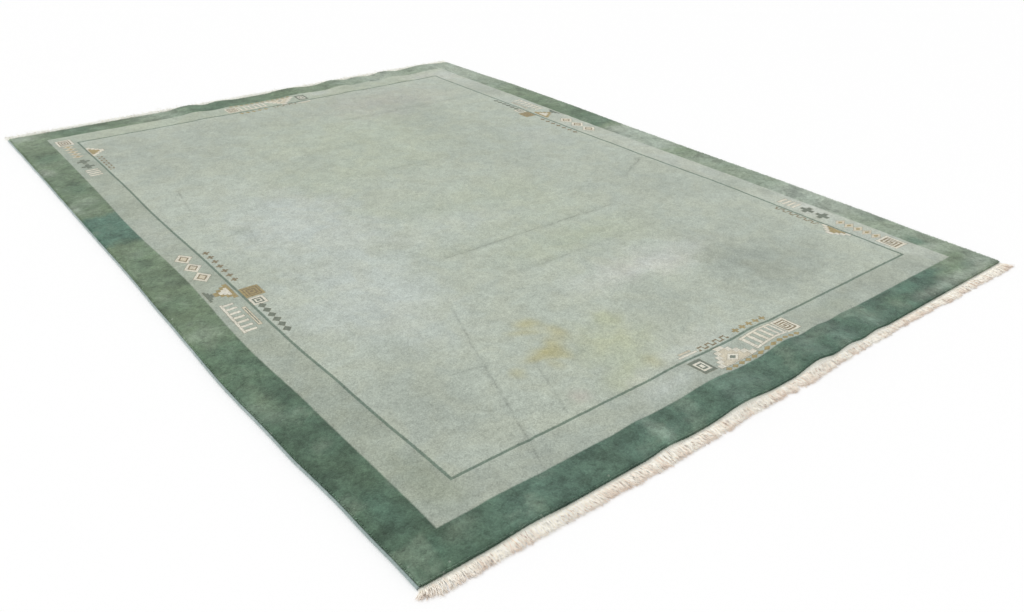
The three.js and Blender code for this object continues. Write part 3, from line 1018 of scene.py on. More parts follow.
SIDE_FIGURES = (
    Lozenge(Yarn.CREAM, -0.215, -0.060, 0.040, 0.034, 3, 0.082, edge=2.4 * MM),
    Lozenge(Yarn.BROWN, -0.215, -0.060, 0.025, 0.021, 3, 0.082),
    Lozenge(Yarn.PEACH, -0.215, -0.060, 0.017, 0.014, 3, 0.082),
    Steps(Yarn.OCHRE, 0.010, -0.045, 0.052, 0.032, edge=2.0 * MM, steps=4, flipped=True),
    Steps(Yarn.CREAM, 0.010, -0.041, 0.028, 0.018, steps=3, flipped=True),
    Steps(Yarn.SLATE, 0.010, -0.093, 0.038, 0.012, edge=1.4 * MM, steps=3),
    Figure(Yarn.CREAM, 0.185, -0.086, 0.100, 0.0045, edge=1.4 * MM),
    Figure(Yarn.CREAM, 0.185, -0.064, 0.0060, 0.018, 7, 0.030, edge=1.4 * MM),
    Figure(Yarn.PEACH, 0.200, -0.028, 0.064, 0.0060, edge=1.4 * MM),
    Figure(Yarn.SLATE, 0.200, -0.028, 0.054, 0.0018),
    Cross(Yarn.BROWN, -0.175, 0.024, 0.013, 0.012, 7, 0.040),
    Figure(Yarn.OCHRE, 0.055, 0.036, 0.034, 0.031, edge=1.8 * MM),
    NestedSquares(Yarn.BROWN, 0.055, 0.036, 0.028, 0.025, rings=2.4),
    Figure(Yarn.CREAM, 0.122, 0.028, 0.025, 0.023, edge=1.6 * MM),
    NestedSquares(Yarn.SLATE, 0.122, 0.028, 0.020, 0.018, rings=1.8),
    Lozenge(Yarn.SLATE, 0.248, 0.024, 0.0165, 0.0135, 6, 0.035, edge=1.2 * MM),
)
CORNER_FIGURES = (
    Figure(Yarn.CREAM, -0.215, -0.058, 0.042, 0.036, edge=2.0 * MM),
    NestedSquares(Yarn.BROWN, -0.215, -0.058, 0.036, 0.030, rings=2.9),
    Lozenge(Yarn.PEACH, -0.075, -0.060, 0.018, 0.029, 5, 0.038, edge=2.0 * MM),
    Lozenge(Yarn.OCHRE, -0.075, -0.060, 0.008, 0.013, 5, 0.038),
    Cross(Yarn.SLATE, 0.115, -0.058, 0.028, 0.028, 2, 0.070, edge=1.4 * MM),
    Figure(Yarn.CREAM, 0.235, -0.058, 0.0060, 0.028, 4, 0.022, edge=1.6 * MM),
    Steps(Yarn.CREAM, -0.030, 0.034, 0.062, 0.030, edge=2.0 * MM, steps=4),
    Steps(Yarn.OCHRE, -0.030, 0.026, 0.038, 0.019, edge=1.4 * MM, steps=3),
    Battlement(Yarn.BROWN, 0.145, 0.022, 0.0165, 0.011, 6, 0.033),
)


@dataclass(frozen=True)
class Spot:
    """Where an ornament stands on the carved line, and the way it is turned."""

    u: float
    v: float
    quarter_turns: int

    def local(self, u: Value | Array, v: Value | Array, minus: Callable) -> tuple:
        """Places along and across the ornament.

        Args:
            u: Places across the drawing.
            v: Places along the drawing.
            minus: Gives the first value less the second.

        Returns:
            Along and across, in the order of the ornament's own axes.
        """
        pairs = (
            (minus(u, self.u), minus(v, self.v)),
            (minus(v, self.v), minus(self.u, u)),
            (minus(self.u, u), minus(self.v, v)),
            (minus(self.v, v), minus(u, self.u)),
        )
        return pairs[self.quarter_turns]


@dataclass(frozen=True)
class Ornament:
    """One kind of ornament: its figures, and the two spots where it stands, face to face."""

    figures: tuple[Figure, ...]
    spots: tuple[Spot, Spot]
    half_along: float
    outwards: float = 0.112
    inwards: float = 0.07

    def holds(self, u: Array, v: Array) -> Array:
        """Whether places lie in the rectangle of either spot."""
        held = np.zeros(np.shape(u), bool)
        for spot in self.spots:
            along, across = spot.local(u, v, np.subtract)
            held |= (np.abs(along) < self.half_along) & (across > -self.outwards) & (across < self.inwards)
        return held

    def local(self, graph: Graph, u: Socket, v: Socket) -> tuple[Socket, Socket, Socket]:
        """Places along and across the ornament, at whichever spot is near.

        Args:
            graph: The material that it is drawn in.
            u: Each point's place across the drawing.
            v: Each point's place along the drawing.

        Returns:
            Along, across, and 1 inside the ornament's rectangle.
        """
        first, second = (spot.local(u, v, lambda a, b: graph.math("SUBTRACT", a, b)) for spot in self.spots)
        there = self._inside(graph, *second)
        along, across = (
            graph.math("MULTIPLY_ADD", there, graph.math("SUBTRACT", b, a), a) for a, b in zip(first, second)
        )
        return along, across, self._inside(graph, along, across)

    def _inside(self, graph: Graph, along: Socket, across: Socket) -> Socket:
        """1 inside the rectangle and 0 outside it."""
        within = graph.math("LESS_THAN", graph.math("ABSOLUTE", along), self.half_along)
        beside = graph.math("LESS_THAN", graph.math("ABSOLUTE", across), self.outwards)
        return graph.times(within, beside)


def ornaments(layout: Layout) -> tuple[Ornament, ...]:
    """The three kinds of ornament."""
    line_u, line_v = layout.line_u, layout.line_v
    return (
        Ornament(END_FIGURES, (Spot(0.02, -line_v, 0), Spot(-0.02, line_v, 2)), 0.25),
        Ornament(SIDE_FIGURES, (Spot(line_u, 0.53, 1), Spot(-line_u, -0.28, 3)), 0.36),
        Ornament(CORNER_FIGURES, (Spot(line_u, -1.17, 1), Spot(-line_u, 1.27, 3)), 0.30),
    )


@dataclass(frozen=True)
class PileFinish:
    """Sheared wool pile, with its knots, its nap, its fold marks, the carved line and the border's edge."""

    layout: Layout
    creases: tuple[Crease, ...]
    knot: float = 3.6 * MM
    edge_wander: float = 3.0 * MM
    edge_step: float = 9 * MM
    border_fade: float = 3.4 * MM
    line_half_width: float = 4.2 * MM
    line_fade: tuple[float, float] = (-1.2 * MM, 1.6 * MM)
    line_strength: float = 0.82
    line_shade: float = 0.05
    outline_strength: float = 0.62
    figure_strength: float = 0.93
    outline_sink: float = 0.7
    figure_rise: float = 0.35
    fold_half_width: float = 6.5 * MM
    fold_wander: float = 14 * MM
    fold_step: float = 90 * MM
    fold_sink: float = 4.0
    worn_side: float = 35 * MM
    worn_end: float = 30 * MM
    speck_cell: float = 22 * MM
    speck_patch: float = 60 * MM
    speck_strength: float = 0.4
    cloud_size: float = 0.12
    brush_size: float = 0.034
    nap_size: float = 0.013
    fibre_size: float = 1.1 * MM
    pale_lively: float = 0.46
    dark_lively: float = 1.15
    nap_lively: float = 0.8
    knot_tone: float = 0.26
    fibre_tone: float = 0.32
    knot_shade: tuple[float, float] = (-0.20, 0.07)
    knot_rise: tuple[float, float] = (-0.45, 0.5)
    brush_rise: float = 1.6
    nap_rise: float = 0.9
    fibre_rise: float = 0.22
    own_rise: float = 0.15
    cool: Colour = (0.990, 1.0, 1.010)
    warm: Colour = (1.010, 1.0, 0.975)
    relief: float = 2.6 * MM
    relief_strength: float = 0.6
    roughness: float = 0.93
    gloss: float = 0.2
    sheen: float = 0.20
    sheen_roughness: float = 0.45
    sheen_tint: Colour = (0.93, 1.0, 0.95)

    def material(self, name: str, shown: Sequence[Ornament] = ()) -> Material:
        """The pile's material.

        Args:
            name: The material's name.
            shown: The ornaments that are drawn in it.

        Returns:
            The material.
        """
        graph = Graph(name)
        drawing, place = graph.drawing(), graph.place()
        u, v, _ = graph.split(self._moved(graph, drawing, self.edge_step, 1.0, self.edge_wander))
        layout = self.layout
        border = graph.past(u, v, layout.border_u, layout.border_v)
        line = graph.math("ABSOLUTE", graph.past(u, v, layout.line_u, layout.line_v))
        dark = graph.ease(border, -self.border_fade, self.border_fade)
        colour = graph.mix(dark, graph.attribute(GROUND_TONE), graph.attribute(BORDER_TONE))
        inner, outer = (self.line_half_width + fade for fade in self.line_fade)
        carved = graph.ease(line, inner, outer, 1.0, 0.0)
        share = graph.times(carved, self.line_strength)
        colour = graph.mix(share, colour, linear(Yarn.LINE.value))
        raised = 0.0
        for ornament in shown:
            colour, raised = self._draw(graph, ornament, u, v, colour, raised)
        colour = self._hue(graph, place, colour)
        rim = graph.past(u, v, layout.outline_u - self.worn_side, layout.outline_v - self.worn_end)
        colour = self._specks(graph, place, rim, colour)
        brightness, height = self._wool(graph, place, dark)
        # painted shade along the thin lines of the fold marks, also sunk into the bump
        fold = self._fold_shading(graph, drawing)
        shaded = graph.math("MULTIPLY_ADD", carved, -self.line_shade, brightness)
        brightness = graph.math("SUBTRACT", shaded, fold)
        sunk = graph.times(fold, -self.fold_sink)
        height = graph.total(height, sunk, graph.times(raised, self.figure_rise))
        return graph.finish(
            graph.tint(colour, brightness),
            graph.bump(height, self.relief, self.relief_strength),
            Roughness=self.roughness,
            Specular_IOR_Level=self.gloss,
            Sheen_Weight=self.sheen,
            Sheen_Roughness=self.sheen_roughness,
            Sheen_Tint=self.sheen_tint,
        )

    @staticmethod
    def _moved(graph: Graph, drawing: Socket, size: float, detail: float, reach: float) -> Socket:
        """The drawing with each place a little out of true."""
        inputs = {"Vector": drawing, "Scale": 1 / size, "Detail": detail}
        wander = graph.node("ShaderNodeTexNoise", inputs).outputs["Color"]
        wander = graph.vector("SUBTRACT", wander, (0.5, 0.5, 0.5))
        return graph.vector("ADD", drawing, graph.vector("SCALE", wander, reach))

    def _draw(
        self, graph: Graph, ornament: Ornament, u: Socket, v: Socket, colour: Socket, raised: Value
    ) -> tuple[Socket, Socket]:
        """Draws an ornament over a colour.

        Args:
            graph: The material.
            ornament: What is drawn.
            u: Each point's place across the drawing.
            v: Each point's place along the drawing.
            colour: The colour under the ornament.
            raised: How the earlier ornaments stand above their cut outlines.

        Returns:
            The colour with the ornament on it, and how all ornaments stand above their outlines.
        """
        along, across, inside = ornament.local(graph, u, v)
        for figure in ornament.figures:
            mask = graph.times(figure.mask(graph, along, across), inside)
            if figure.edge:
                grown = graph.times(figure.mask(graph, along, across, figure.edge), inside)
                share = graph.times(grown, self.outline_strength)
                colour = graph.mix(share, colour, linear(Yarn.BROWN.value))
                raised = graph.math("SUBTRACT", raised, graph.times(grown, self.outline_sink))
            share = graph.times(mask, self.figure_strength)
            colour = graph.mix(share, colour, linear(figure.yarn.value))
            raised = graph.math("ADD", raised, mask)
        return colour, graph.math("MINIMUM", graph.math("MAXIMUM", raised, -1.0), 1.0)

    def _fold_shading(self, graph: Graph, drawing: Socket) -> Socket:
        """The light that the thin lines of the fold marks take."""
        moved = self._moved(graph, drawing, self.fold_step, 2.0, self.fold_wander)
        total: Value = 0.0
        for crease in self.creases:
            if not crease.line:
                continue
            away = graph.vector("SUBTRACT", moved, (*crease.start, 0.0))
            along = graph.dot(away, (*crease.way, 0.0))
            off = graph.math("ABSOLUTE", graph.dot(away, (-crease.way[1], crease.way[0], 0.0)))
            middle = graph.math("ABSOLUTE", graph.math("SUBTRACT", along, crease.length / 2))
            shown = graph.ease(middle, 0.36 * crease.length, 0.53 * crease.length, crease.line, 0.0)
            thin = graph.ease(off, 0.0, self.fold_half_width, 1.0, 0.0)
            total = graph.math("MULTIPLY_ADD", thin, shown, total)
        breaks = graph.ease(graph.noise(drawing, 0.05, 2.0), 0.36, 0.56, 0.30, 1.0)
        return graph.times(total, breaks)

    def _hue(self, graph: Graph, place: Socket, colour: Socket) -> Socket:
        """The colour, bluer here and more yellow there, as old dye turns."""
        turned = graph.noise(place, self.cloud_size, 3.0, 0.55, 0.6)
        cool = graph.vector("MULTIPLY", colour, self.cool)
        warm = graph.vector("MULTIPLY", colour, self.warm)
        return graph.mix(graph.ease(turned, 0.36, 0.64), cool, warm)

    def _specks(self, graph: Graph, place: Socket, rim: Socket, colour: Socket) -> Socket:
        """The colour with small pale specks near the rim, where tufts have worn to their roots."""
        far, _ = graph.cells(place, self.speck_cell)
        near = graph.ease(rim, -0.02, 0.03, 0.0, 0.16)
        speck = graph.math("LESS_THAN", far, near)
        few = graph.ease(graph.noise(place, self.speck_patch, 1.0), 0.5, 0.62)
        share = graph.times(graph.times(speck, few), self.speck_strength)
        return graph.mix(share, colour, linear(Wool.SILVER.value))

    def _wool(self, graph: Graph, place: Socket, dark: Socket) -> tuple[Socket, Socket]:
        """The pile's own grain, with painted shade between the knots.

        Args:
            graph: The material.
            place: Where each point is.
            dark: 1 in the dark border and 0 inside it.

        Returns:
            A brightness about 1, and a height from 0 to 1.
        """
        far, tuft = graph.cells(place, self.knot, 0.9)
        own = graph.split(tuft)[0]
        brushed = graph.noise(place, self.brush_size, 4.0, 0.6, 0.5)
        nap = graph.noise(place, self.nap_size, 3.0, 0.65, 0.2)
        fibre = graph.noise(place, self.fibre_size, 2.0)
        lively = graph.math("MULTIPLY_ADD", dark, self.dark_lively - self.pale_lively, self.pale_lively)
        brightness = graph.total(
            1.0,
            graph.around(brushed, lively),
            graph.times(graph.around(nap, lively), self.nap_lively),
            graph.around(own, self.knot_tone),
            graph.around(fibre, self.fibre_tone),
            graph.math("MULTIPLY_ADD", far, *self.knot_shade),
        )
        height = graph.total(
            graph.math("MULTIPLY_ADD", far, *self.knot_rise),
            graph.times(brushed, self.brush_rise),
            graph.times(nap, self.nap_rise),
            graph.times(fibre, self.fibre_rise),
            graph.times(own, self.own_rise),
        )
        return brightness, height


@dataclass(frozen=True)
class YarnFinish:
    """Spun yarn, plain or wound, with each strand in a tone of its own."""

    name: str
    clean: Colour
    dull: Colour
    tip: Colour
    grain: float
    stretch: tuple[float, float, float]
    speck: Colour = (146, 118, 96)
    bright: float = 0.88
    fibre_size: float = 0.9 * MM
    spun_tone: float = 0.24
    fibre_tone: float = 0.16
    fibre_rise: float = 0.5
    relief: float = 1.0 * MM
    relief_strength: float = 0.5
    roughness: float = 0.95
    gloss: float = 0.2
    sheen: float = 0.15
    sheen_roughness: float = 0.5

    def material(self) -> Material:
        """The yarn's material."""
        graph = Graph(self.name)
        place = graph.place()
        tone, age, speck = graph.split(graph.attribute(YARN_TONE))
        colour = graph.mix(tone, linear(self.clean), linear(self.dull))
        colour = graph.mix(age, colour, linear(self.tip))
        colour = graph.mix(speck, colour, linear(self.speck))
        spun = graph.noise(graph.vector("MULTIPLY", place, self.stretch), self.grain, 3.0, 0.6)
        fibre = graph.noise(place, self.fibre_size, 2.0)
        thread = graph.math("MULTIPLY_ADD", spun, self.spun_tone, self.bright)
        brightness = graph.total(thread, graph.around(fibre, self.fibre_tone))
        height = graph.math("MULTIPLY_ADD", fibre, self.fibre_rise, spun)
        return graph.finish(
            graph.tint(colour, brightness),
            graph.bump(height, self.relief, self.relief_strength),
            Roughness=self.roughness,
            Specular_IOR_Level=self.gloss,
            Sheen_Weight=self.sheen,
            Sheen_Roughness=self.sheen_roughness,
        )


@dataclass(frozen=True)
class BackFinish:
    """The underside: rows of knot backs between pale cotton wefts."""

    layout: Layout
    row: float = 3.6 * MM
    border_fade: float = 2 * MM
    weft_strength: float = 0.55
    grain_size: float = 4 * MM
    grain_tone: float = 0.2
    bright: float = 0.86
    relief: float = 1.2 * MM
    relief_strength: float = 0.7
    roughness: float = 0.95
    gloss: float = 0.2

    def material(self) -> Material:
        """The back's material."""
        graph = Graph("knotted_back")
        drawing, place = graph.drawing(), graph.place()
        u, v, _ = graph.split(drawing)
        rows = graph.math("SINE", graph.times(v, math.tau / self.row))
        warps = graph.math("SINE", graph.times(u, math.tau / self.row))
        knots = graph.math("MULTIPLY_ADD", graph.math("ADD", rows, warps), 0.25, 0.5)
        border = graph.past(u, v, self.layout.border_u, self.layout.border_v)
        dark = graph.ease(border, -self.border_fade, self.border_fade)
        tone = graph.mix(dark, graph.attribute(GROUND_TONE), graph.attribute(BORDER_TONE))
        weft = graph.ease(knots, 0.1, 0.32, self.weft_strength, 0.0)
        colour = graph.mix(weft, tone, linear(Yarn.CREAM.value))
        grain = graph.noise(place, self.grain_size, 3.0)
        colour = graph.tint(colour, graph.math("MULTIPLY_ADD", grain, self.grain_tone, self.bright))
        height = graph.math("MULTIPLY_ADD", grain, 0.4, knots)
        normal = graph.bump(height, self.relief, self.relief_strength)
        return graph.finish(colour, normal, Roughness=self.roughness, Specular_IOR_Level=self.gloss)


@dataclass(frozen=True)
class FloorFinish:
    """A plain, pale, matt floor."""

    colour: Colour = (255, 255, 255)

    def material(self) -> Material:
        """The floor's material."""
        graph = Graph("pale_floor")
        grain = graph.noise(graph.place(), 0.4, 2.0)
        tone = graph.mix(graph.times(grain, 0.03), linear(self.colour), (0.9, 0.9, 0.9))
        normal = graph.bump(graph.noise(graph.place(), 0.01), 0.2 * MM, 0.1)
        return graph.finish(tone, normal, Roughness=0.9, Specular_IOR_Level=0.1)


def meshed(shape: bmesh.types.BMesh, name: str) -> Mesh:
    """Turns a finished shape into a mesh, and lets the shape go."""
    mesh = bpy.data.meshes.new(name)
    shape.to_mesh(mesh)
    shape.free()
    return mesh


def rows_of(parts: bpy.types.bpy_prop_collection, name: str, width: int, kind: type) -> Array:
    """What each part of a mesh says under a name, as rows of a given width."""
    flat = np.empty(len(parts) * width, kind)
    parts.foreach_get(name, flat)
    return flat.reshape(-1, width)


def draw_up(shape: bmesh.types.BMesh, height: float) -> None:
    """Draws a flat shape up into a closed one."""
    made = bmesh.ops.extrude_face_region(shape, geom=shape.faces[:], use_keep_orig=True)["geom"]
    top = [part for part in made if isinstance(part, bmesh.types.BMVert)]
    bmesh.ops.translate(shape, verts=top, vec=(0, 0, height))


def points_of(mesh: Mesh) -> Array:
    """A mesh's points as rows of three numbers."""
    return rows_of(mesh.vertices, "co", 3, np.float32).astype(float)


def move_points(mesh: Mesh, points: Array) -> None:
    """Puts a mesh's points in their places."""
    mesh.vertices.foreach_set("co", points.astype(np.float32).ravel())
    mesh.update()


def write_colour(mesh: Mesh, name: str, colours: Array) -> None:
    """Writes one colour for each point of a mesh."""
    opaque = np.concatenate([colours, np.ones((len(colours), 1))], axis=1)
    made = mesh.attributes.new(name, "FLOAT_COLOR", "POINT")
    made.data.foreach_set("color", opaque.astype(np.float32).ravel())


def write_drawing(mesh: Mesh, u: Array, v: Array) -> None:
    """Writes each point's place in the rug's drawing as the mesh's own UV map."""
    corner = rows_of(mesh.loops, "vertex_index", 1, np.int32)[:, 0]
    layer = mesh.uv_layers.new(name=DESIGN_UV)
    layer.uv.foreach_set("vector", np.stack([u, v], axis=1)[corner].astype(np.float32).ravel())


def new_piece(name: str, mesh: Mesh, materials: Sequence[Material]) -> bpy.types.Object:
    """Puts a mesh in the scene as a smooth piece that rides on the rug's one body.

    Args:
        name: The piece's name.
        mesh: Its mesh.
        materials: Its materials, in the order that its faces count them.

    Returns:
        The piece.
    """
    made = bpy.data.objects.new(name, mesh)
    bpy.context.scene.collection.objects.link(made)
    for material in materials:
        mesh.materials.append(material)
    mesh.shade_smooth()
    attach(made, "root")
    return made


def filled(marks: Sequence[float], pitch: float) -> Array:
    """Rising marks with even steps of at most a pitch put between them."""
    marks = sorted(set(marks))
    runs = [
        np.linspace(low, high, max(1, math.ceil((high - low) / pitch)), endpoint=False)
        for low, high in zip(marks, marks[1:])
    ]
    return np.concatenate([*runs, marks[-1:]])


def tubes(paths: Array, radii: Array, sides: int) -> Mesh:
    """Closed tapered tubes along many paths, joined in one mesh.

    Args:
        paths: Points of each path, as paths by points by three numbers.
        radii: The tube's radius at each point.
        sides: Sides round each tube.

    Returns:
        The mesh, with each tube's points after each other.
    """
    count, steps, _ = paths.shape
    run = np.gradient(paths, axis=1)
    run /= np.linalg.norm(run, axis=2, keepdims=True)
    aside = np.cross(run, np.array([0.0, 0.0, 1.0]))
    aside /= np.maximum(np.linalg.norm(aside, axis=2, keepdims=True), TINY)
    above = np.cross(aside, run)
    angle = np.arange(sides) * math.tau / sides + math.pi / sides
    ring = aside[:, :, None] * np.cos(angle)[:, None] + above[:, :, None] * np.sin(angle)[:, None]
    points = paths[:, :, None] + ring * radii[:, :, None, None]
    index = np.arange(count * steps * sides).reshape(count, steps, sides)
    ahead = np.roll(index, -1, axis=2)
    walls = np.stack([index[:, :-1], index[:, 1:], ahead[:, 1:], ahead[:, :-1]], axis=-1).reshape(-1, 4)
    mesh = bpy.data.meshes.new("tubes")
    caps = [*index[:, 0].tolist(), *index[:, -1, ::-1].tolist()]
    mesh.from_pydata(points.reshape(-1, 3).tolist(), [], [*walls.tolist(), *caps])
    return mesh


@dataclass
class PileRug:
    """The knotted slab: its sheared top, its rim, its upright sides and its knotted back.

    Border marks and line marks are where columns and rows run beside the border's edge and the
    carved line, in millimetres.
    """

    ORNAMENT_FACE = 1
    BACK_FACE = 2

    layout: Layout
    wear_and_shade: WearAndShade
    pitch: float = 11 * MM
    end_pitch: float = 9 * MM
    end_reach: float = 0.40
    back_columns: int = 60
    back_rows: int = 84
    border_marks: tuple[float, ...] = (-6, -1, 1, 6)
    line_marks: tuple[float, ...] = (-9, -5, 0, 5, 9)
    rim_steps: tuple[float, ...] = (1.5 * MM, 4 * MM, 8 * MM, 14 * MM)
    rim_drop: float = 5.0 * MM
    rim_reach: float = 16 * MM
    corner_radius: float = 9 * MM
    wall_heights: tuple[float, ...] = (7 * MM, 4 * MM, 1.2 * MM)
    wall_insets: tuple[float, ...] = (0.0, 0.4 * MM, 1.2 * MM)
    top_inset: float = 2.0 * MM
    back_inset: float = 2.6 * MM
    back_slope: float = -0.5
    edge_sway: float = 0.8 * MM
    edge_waver: Lumps = Lumps(21, 0.05)

    def build(self) -> bpy.types.Object:
        """Builds and dresses the slab.

        Returns:
            The piece.
        """
        columns, rows = self._columns(), self._rows()
        mesh = self._topology(len(columns), len(rows))
        flat = points_of(mesh)
        level = np.rint(-flat[:, 2]).astype(int)
        u = np.interp(flat[:, 0], np.linspace(0, 1, len(columns)), columns)
        v = np.interp(flat[:, 1], np.linspace(0, 1, len(rows)), rows)
        back = level == len(self.wall_heights) + 1
        u[back] = (flat[back, 0] * 2 - 1) * self.layout.outline_u
        v[back] = (flat[back, 1] * 2 - 1) * self.layout.outline_v
        move_points(mesh, self._placed(u, v, level))
        write_drawing(mesh, u, v)
        write_colour(mesh, GROUND_TONE, self.wear_and_shade.ground(self.layout, u, v))
        write_colour(mesh, BORDER_TONE, self.wear_and_shade.border(self.layout, u, v))
        self._hand_out(mesh)
        finish = PileFinish(self.layout, self.wear_and_shade.creases)
        materials = [
            finish.material("wool_pile"),
            finish.material("wool_pile_with_ornaments", ornaments(self.layout)),
            BackFinish(self.layout).material(),
        ]
        made = new_piece("knotted_pile", mesh, materials)
        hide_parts("pile_rug")
        return made

    def _columns(self) -> Array:
        """Where the top's columns run, close together at the rim, the border and the line."""
        return self._marks(self.layout.outline_u, self.layout.border_u, self.layout.line_u, self.pitch)

    def _rows(self) -> Array:
        """Where the top's rows run, closer together towards both ends."""
        layout = self.layout
        wide = self._marks(layout.outline_v, layout.border_v, layout.line_v, self.pitch)
        inner = layout.outline_v - self.end_reach
        ends = self._marks(layout.outline_v, layout.border_v, layout.line_v, self.end_pitch)
        return np.concatenate([ends[ends < -inner], wide[np.abs(wide) <= inner], ends[ends > inner]])

    def _marks(self, outline: float, border: float, line: float, pitch: float) -> Array:
        """Marks from one rim to the other, the same on both sides of the middle."""
        rim = [outline, *(outline - step for step in self.rim_steps)]
        edge = [border + off * MM for off in self.border_marks]
        carved = [line + off * MM for off in self.line_marks]
        half = [0.0, *rim, *edge, *carved]
        return filled([*half, *(-mark for mark in half)], pitch)

    def _topology(self, columns: int, rows: int) -> Mesh:
        """The slab's faces, with each level of points one unit below the last.

        Args:
            columns: Lines of points across the top.
            rows: Lines of points along it.

        Returns:
            A closed mesh over the unit square.
        """
        shape = bmesh.new()
        middle = Matrix.Translation((0.5, 0.5, 0))
        bmesh.ops.create_grid(shape, x_segments=columns - 1, y_segments=rows - 1, size=0.5, matrix=middle)
        rim = [edge for edge in shape.edges if edge.is_boundary]
        for _ in self.wall_heights:
            made = bmesh.ops.extrude_edge_only(shape, edges=rim)["geom"]
            down = [part for part in made if isinstance(part, bmesh.types.BMVert)]
            bmesh.ops.translate(shape, verts=down, vec=(0, 0, -1))
            rim = [part for part in made if isinstance(part, bmesh.types.BMEdge) and part.is_boundary]
        below = Matrix.Translation((0.5, 0.5, -1 - len(self.wall_heights)))
        made = bmesh.ops.create_grid(
            shape, x_segments=self.back_columns, y_segments=self.back_rows, size=0.5, matrix=below
        )
        back = {edge for vert in made["verts"] for edge in vert.link_edges if edge.is_boundary}
        bmesh.ops.bridge_loops(shape, edges=[*rim, *back])
        bmesh.ops.recalc_face_normals(shape, faces=shape.faces)
        return meshed(shape, "knotted_pile")

    def _placed(self, u: Array, v: Array, level: Array) -> Array:
        """Each point in the frame.

        Args:
            u: Places across the drawing.
            v: Places along the drawing.
            level: 0 on the top, 1 and up down the wall, and the last number on the back.

        Returns:
            The points.
        """
        layout = self.layout
        x, y = layout.place(u, v)
        from_side, from_end = layout.outline_u - np.abs(u), layout.outline_v - np.abs(v)
        on_edge = np.minimum(from_side, from_end) < TINY
        insets = np.array([self.top_inset, *self.wall_insets, self.back_inset])[level]
        waver = self.edge_sway * self.edge_waver(x * 1.7, y * 1.7) * (level < len(self.wall_heights))
        inset = (insets + waver) * on_edge
        pull_u, pull_v = self._corner_pull(from_side, from_end)
        x = x - np.sign(u) * (inset * (from_side < TINY) + pull_u)
        y = y - np.sign(v) * (inset * (from_end < TINY) + pull_v)
        rim = np.clip(1 - np.minimum(from_side, from_end) / self.rim_reach, 0, 1)
        top = layout.thickness - self.rim_drop * rim**2 + self.wear_and_shade.relief(layout, u, v)
        heights = np.array([0.0, *self.wall_heights, 0.0])[level]
        z = layout.lift(x, y) + np.where(level == 0, top, heights)
        return layout.in_frame(x, y, z)

    def _corner_pull(self, from_side: Array, from_end: Array) -> tuple[Array, Array]:
        """How far points near a corner are drawn in both ways, so that each corner is a small arc."""
        a, b = (np.clip(self.corner_radius - away, 0, None) for away in (from_side, from_end))
        length = np.maximum(np.hypot(a, b), TINY)
        pull = np.where((a > 0) & (b > 0), 1 - np.maximum(a, b) / length, 0)
        return a * pull, b * pull

    def _hand_out(self, mesh: Mesh) -> None:
        """Gives the back its own material, and the faces under the ornaments theirs."""
        faces = mesh.polygons
        upwards = rows_of(faces, "normal", 3, np.float32)[:, 2]
        first = rows_of(faces, "loop_start", 1, np.int32)[:, 0]
        total = rows_of(faces, "loop_total", 1, np.int32)[:, 0]
        drawn = rows_of(mesh.uv_layers[DESIGN_UV].uv, "vector", 2, np.float32)
        middle = (drawn[first] + drawn[first + total // 2]) / 2
        chosen = np.zeros(len(faces), np.int32)
        for ornament in ornaments(self.layout):
            chosen[ornament.holds(middle[:, 0], middle[:, 1])] = self.ORNAMENT_FACE
        chosen[upwards < self.back_slope] = self.BACK_FACE
        faces.foreach_set("material_index", chosen)


